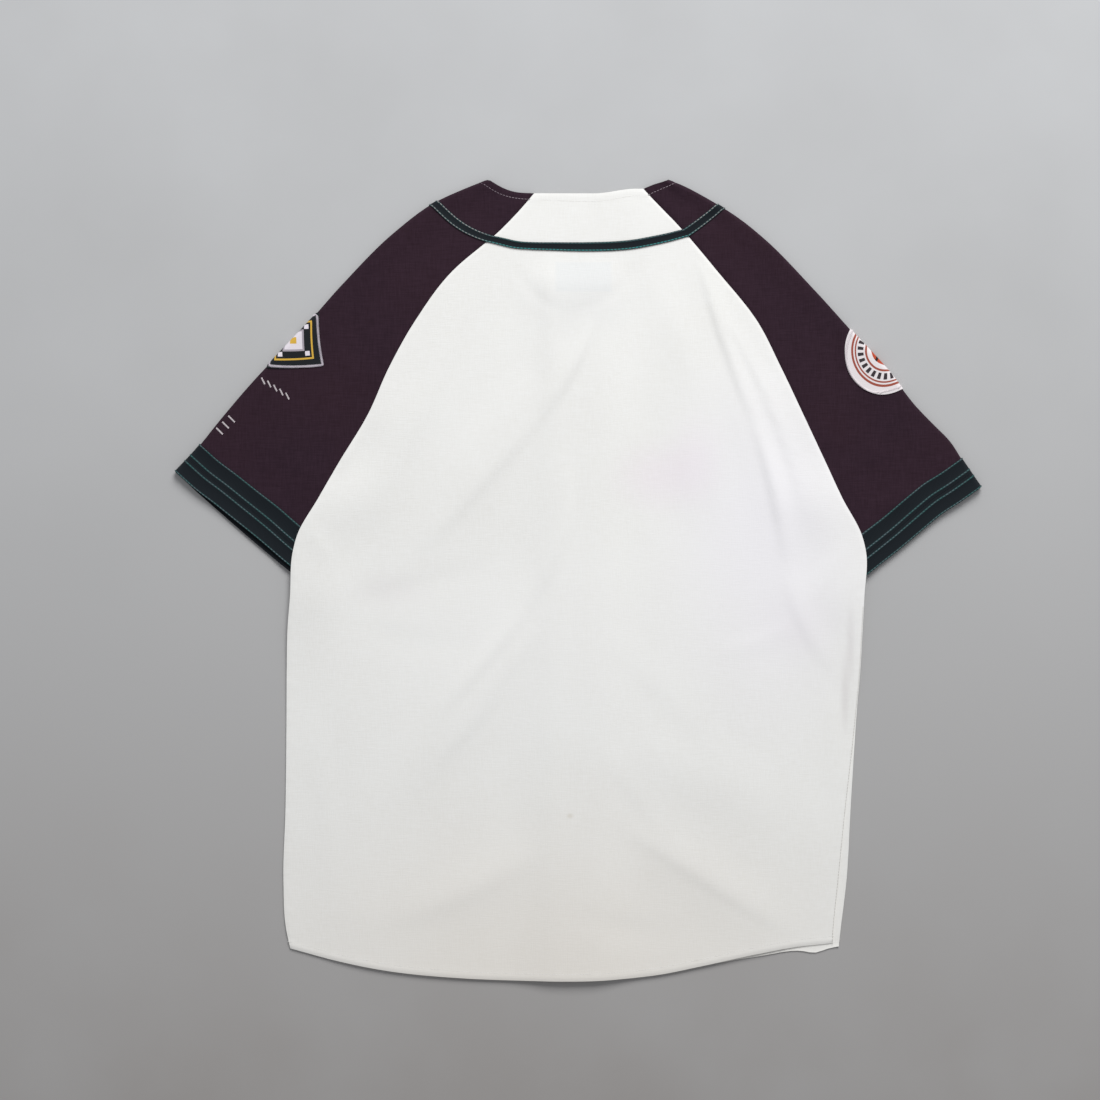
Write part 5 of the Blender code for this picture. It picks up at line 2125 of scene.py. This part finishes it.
# ======== buttons
@dataclass(frozen=True)
class ShirtButtons:
    """Four-hole buttons, face down under the placket, with their thread."""

    count: int = 7
    top_y: float = 256.0
    pitch: float = 95.0
    radius: float = 6.3
    thick: float = 2.0
    dish: float = 0.7
    rim: float = 1.3
    hole: float = 0.75
    hole_out: float = 1.35
    thread_sink: float = 0.15  # of the thread into the dish
    slit: float = 2.6  # from one bar of a buttonhole to the other
    slit_length: float = 19.0
    sides: int = 48

    def profile(self) -> list:
        """Half section from the back's middle round the rim to the face's middle, as (r, z)."""
        r, t = self.radius, self.thick
        back = [(0.0, t), (r - 0.9, t), (r - 0.35, t - 0.15), (r, t - 0.6)]
        rim = [(r, 0.5), (r - 0.3, 0.12), (r - 0.7, 0.0), (r - self.rim, 0.12)]
        return [*back, *rim, (r - self.rim - 0.6, self.dish), (0.0, self.dish + 0.1)]

    def blank(self, x: float, y: float) -> Thing:
        """Turns a disc and cuts four holes through it.

        Args:
            x: Its middle's place across.
            y: Its middle's place along.

        Returns:
            The object, without a name of its own.
        """
        shape = bmesh.new()
        points = [shape.verts.new((r, 0, z)) for r, z in self.profile()]
        edges = [shape.edges.new(pair) for pair in zip(points, points[1:])]
        bmesh.ops.spin(
            shape,
            geom=points + edges,
            axis=(0, 0, 1),
            cent=(0, 0, 0),
            steps=self.sides,
            angle=2 * math.pi,
        )
        bmesh.ops.remove_doubles(shape, verts=shape.verts, dist=1e-4)
        bmesh.ops.recalc_face_normals(shape, faces=shape.faces)
        button = self.object_of(shape, "button_blank", x, y)
        cutter = bmesh.new()
        for quarter in range(4):
            turn = math.pi / 4 + quarter * math.pi / 2
            at = Vector((math.cos(turn), math.sin(turn), 0)) * self.hole_out * math.sqrt(2)
            made = bmesh.ops.create_cone(
                cutter,
                cap_ends=True,
                segments=12,
                radius1=self.hole,
                radius2=self.hole,
                depth=2 * self.thick + 2,
            )
            bmesh.ops.translate(cutter, verts=made["verts"], vec=at)
        tool = self.object_of(cutter, "button_drill", x, y)
        cut = button.modifiers.new("holes", "BOOLEAN")
        cut.operation, cut.object, cut.solver = "DIFFERENCE", tool, "EXACT"
        bake(button)
        bpy.data.objects.remove(tool, do_unlink=True)
        return button

    def object_of(self, shape: bmesh.types.BMesh, name: str, x: float, y: float) -> Thing:
        """Makes an object of a shape and frees the shape.

        Args:
            shape: The shape in millimetres, round the origin.
            name: The object's name.
            x: Where it goes, across.
            y: Where it goes, along.

        Returns:
            The object, in metres.
        """
        bmesh.ops.translate(shape, verts=shape.verts, vec=(x, y, 0))
        bmesh.ops.scale(shape, verts=shape.verts, vec=(MM, MM, MM))
        mesh = bpy.data.meshes.new(name)
        shape.to_mesh(mesh)
        shape.free()
        return link_mesh(name, mesh, "pearl")

    def places(self) -> list:
        """The buttons' heights on the placket."""
        return [self.top_y - i * self.pitch for i in range(self.count)]

    def build(self) -> list:
        """Makes every button, each in place of its own solid."""
        pieces = []
        for i, y in enumerate(self.places()):
            piece = self.blank(CENTRE_X, y)
            piece.name = f"shirt_button_{i + 1}"
            piece.data.set_sharp_from_angle(angle=SHARP_RIM)
            pieces.append(dress(piece, (f"button_{i + 1}",)))
        return pieces

    def thread_lines(self) -> list:
        """Two short bars of thread across each button's holes, on its face."""
        lines = []
        for y in self.places():
            for dx in (-self.hole_out, self.hole_out):
                ends = np.linspace(-self.hole_out, self.hole_out, 3)
                z = np.full(3, self.dish - self.thread_sink)
                lines.append(np.stack([np.full(3, CENTRE_X + dx), y + ends, z], axis=-1))
        return lines

    def buttonhole_lines(self) -> list:
        """The two sewn bars of each buttonhole, on the placket's outer face."""
        lines = []
        for y in self.places():
            for dx in (-self.slit / 2, self.slit / 2):
                run = np.linspace(-self.slit_length / 2, self.slit_length / 2, 5)
                z = np.full(5, PLACKET_UNDER - STITCH_OUT)
                lines.append(np.stack([np.full(5, CENTRE_X + dx), y + run, z], axis=-1))
        return lines


# ======== studio
@dataclass(frozen=True)
class Studio:
    """Floor, camera over the garment, and soft light from the top of the picture."""

    view: float = 1100.0  # mm that the picture covers
    middle: tuple = (-28.5, 30.5)
    height: float = 2200.0
    sensor: float = 36.0
    floor_size: float = 12000.0
    floor_z: float = -0.05
    key_power: float = 118.0
    key_size: float = 1.9
    key_at: tuple = (0.65, 2.75, 2.35)
    sky: float = 0.4
    sky_colour: str = "#F4F6FA"

    def build(self) -> None:
        """Makes the floor, lights and camera."""
        half = self.floor_size / 2 * MM
        mesh = bpy.data.meshes.new("floor")
        corners = [(-half, -half), (half, -half), (half, half), (-half, half)]
        mesh.from_pydata([(x, y, self.floor_z * MM) for x, y in corners], [], [(0, 1, 2, 3)])
        link_mesh("floor", mesh, "floor")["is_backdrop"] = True
        light = bpy.data.lights.new("key", "AREA")
        light.shape, light.size, light.energy = "SQUARE", self.key_size, self.key_power
        key = bpy.data.objects.new("key", light)
        bpy.context.scene.collection.objects.link(key)
        key.location = self.key_at
        key.rotation_euler = (Vector((0, 0, 0)) - key.location).to_track_quat("-Z", "Y").to_euler()
        world = bpy.data.worlds.new("soft_room")
        bpy.context.scene.world = world
        world.use_nodes = True
        sky = world.node_tree.nodes["Background"]
        sky.inputs["Color"].default_value = linear(self.sky_colour)
        sky.inputs["Strength"].default_value = self.sky
        lens = bpy.data.cameras.new("camera")
        lens.sensor_width = self.sensor
        lens.lens = self.sensor * self.height / self.view
        camera = bpy.data.objects.new("camera", lens)
        bpy.context.scene.collection.objects.link(camera)
        camera.location = (self.middle[0] * MM, self.middle[1] * MM, self.height * MM)
        bpy.context.scene.camera = camera
        bpy.context.scene.view_settings.view_transform = "Standard"


# ======== the jersey
BADGES = rows(
    Badge,
    ("felt_patch_right", "patch_right", "patch_felt", "round_felt", Side.RIGHT, 272.0, 8.5, 41.0, True),
    ("felt_badge_left", "badge_left", "badge_felt", "diamond_felt", Side.LEFT, 256.0, -4.0, 38.0, False),
)
SLEEVE_MARKS = (  # ax, ay, bx, by of plain satin bars below the badge and above the cuff
    (-316, 202, -313, 196),
    (-310, 199, -307, 193),
    (-304, 195, -301, 189),
    (-298, 191, -295, 185),
    (-292, 187, -289, 181),
    (-349, 164, -343, 158),
    (-355, 158, -349, 152),
    (-361, 152, -355, 146),
)
MARK_STEPS = 7
CUFF_BRAIDS = {  # for each strip: name, distance from the hem, width, its lines of yarn
    Side.LEFT: (("lower", 0.3, 18.3, (0.7, 14.4)), ("upper", 18.8, 18.3, (3.8, 17.6))),
    Side.RIGHT: (("lower", 0.3, 17.3, (0.7, 13.6)), ("upper", 17.8, 17.3, (3.7, 16.6))),
}
ON_CLOTH = WALL / 2 + 2 * STITCH_OUT  # stitches lie this far out from a panel's middle
ON_FINE_CLOTH = FINE_WALL / 2 + STITCH_OUT
ON_BRAID = WALL / 2 + SEWN + BRAID_WALL + YARN_RISE + STITCH_OUT
SIDE_SEAM_FROM = -25.0  # below this height grey stitches run along the back's right edge
NEAR_EDGE = 3  # column of the placket along which it is stitched, from either edge


@dataclass
class Jersey:
    """The whole garment."""

    back: BackPanel = field(default_factory=BackPanel)
    fronts: dict = field(default_factory=lambda: {side: FrontPanel(side) for side in Side})
    sleeves: dict = field(
        default_factory=lambda: {
            Side.LEFT: Sleeve(Side.LEFT, hem_seam_y=-0.5, neck_bow=4.0),
            Side.RIGHT: Sleeve(Side.RIGHT, hem_seam_y=-10.5, neck_bow=-0.5),
        }
    )

    def panels(self) -> dict:
        """Names the panels that the neck braid crosses.

        Returns:
            The panels by kind and side.
        """
        found = {("back", None): self.back.panel}
        for side in Side:
            found["front", side] = self.fronts[side].panel
            found["sleeve", side] = self.sleeves[side].panel
        return found

    def build_sleeve(self, side: Side) -> None:
        """Makes a sleeve with its cuff braids, badge, badge border and stitches.

        Args:
            side: The wearer's side.
        """
        sleeve = self.sleeves[side]
        slant = sleeve.panel.end_slant()
        trim, edges = [], []
        for place, near, width, lines in CUFF_BRAIDS[side]:
            node = f"cuff_tape_{side.value}_{place}"
            braid = Braid(f"cuff_braid_{side.value}_{place}", (node,), width, lines)
            strip = braid.strip(sleeve.panel, np.full(len(slant), near), slant)
            trim.append(braid.build(strip))
            edges += [sleeve.panel.row_at((near + line) * slant, True, ON_BRAID) for line in lines]
        cuff = Stitching(f"cuff_stitches_{side.value}", "teal_thread", "braid", BRAID_STITCH)
        trim.append(cuff.build(edges))
        name = f"sleeve_neck_stitches_{side.value}"
        neck = Stitching(name, "lilac_thread", "sleeve_cloth", LOCKSTITCH)
        trim.append(neck.build([sleeve.panel.row_at(NECK_HEM.fold, False, ON_CLOTH)]))
        if side is Side.LEFT:
            marks = Stitching("sleeve_marks", "border_white", "sleeve_cloth", MARK_STITCH)
            trim.append(marks.build([sleeve.on_top(*mark) for mark in SLEEVE_MARKS]))
        for badge in BADGES:
            if badge.side is side:
                piece, rim = badge.build(sleeve)
                thread = "border_white" if badge.is_round else "border_grey"
                border = Stitching(badge.name + "_border", thread, badge.slot, SATIN_BORDER)
                trim += [piece, border.build([rim])]
        sleeve.build(trim)

    def hem_stitches(self, name: str, panel: Panel) -> Thing:
        """The white stitches along a body panel's neck edge and hem."""
        neck = panel.row_at(NECK_HEM.fold, False, ON_FINE_CLOTH)
        hem = panel.row_at(BODY_HEM.fold, True, ON_FINE_CLOTH)
        return Stitching(name, "white_thread", "body_cloth", FLAT_STITCH).build([neck, hem])

    def build_body(self) -> None:
        """Makes the back, fronts, placket, neck braid and their stitches."""
        neck = NeckBraid()
        grid = neck.grid(self.panels())
        braid = neck.braid.build(grid)
        face = Panel(grid, 1).moved_out(BRAID_WALL / 2 + STITCH_OUT)
        upper, lower = face[neck.braid.stations()[1] == 1]
        sewn = [
            Stitching(f"neck_braid_stitches_{place}", thread, "braid", BRAID_STITCH).build([line])
            for place, thread, line in (("upper", "neck_thread", upper), ("lower", "bright_thread", lower))
        ]
        panel = self.back.panel
        sewn.append(self.hem_stitches("back_stitches", panel))
        seam = panel.moved_out(ON_FINE_CLOTH)[:, -2]
        seam = seam[seam[:, 1] < SIDE_SEAM_FROM]
        side_seam = Stitching("side_seam_stitches", "seam_thread", "body_cloth", FLAT_STITCH)
        self.back.build(braid, [*sewn, side_seam.build([seam])])
        for side, front in self.fronts.items():
            front.build([self.hem_stitches(f"front_stitches_{side.value}", front.panel)])
        placket = Placket(front=self.fronts[Side.LEFT])
        face = placket.panel.moved_out(ON_CLOTH)
        sides = [face[:, NEAR_EDGE], face[:, -1 - NEAR_EDGE]]
        rows_sewn = Stitching("placket_stitches", "white_thread", "body_cloth", LOCKSTITCH).build(sides)
        buttons = ShirtButtons()
        buttons.build()
        holes = Stitching("buttonholes", "white_thread", "body_cloth", BUTTONHOLE_BAR, jitter=0.02)
        thread = Stitching("button_threads", "white_thread", "button", SHANK_STITCH)
        placket.build([rows_sewn, holes.build(buttons.buttonhole_lines())])
        thread.build(buttons.thread_lines())

    def build(self) -> None:
        """Makes every piece."""
        for side in Side:
            self.build_sleeve(side)
        self.build_body()


def write_sizes() -> None:
    """Updates the view layer."""
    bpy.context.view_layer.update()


def main() -> None:
    """Builds the scene."""
    logging.basicConfig(level=logging.INFO, format="%(name)s: %(message)s")
    Studio().build()
    Jersey().build()
    write_sizes()
    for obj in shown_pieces():
        LOG.info("%s shown", obj.name)


if __name__ == "__main__":
    main()
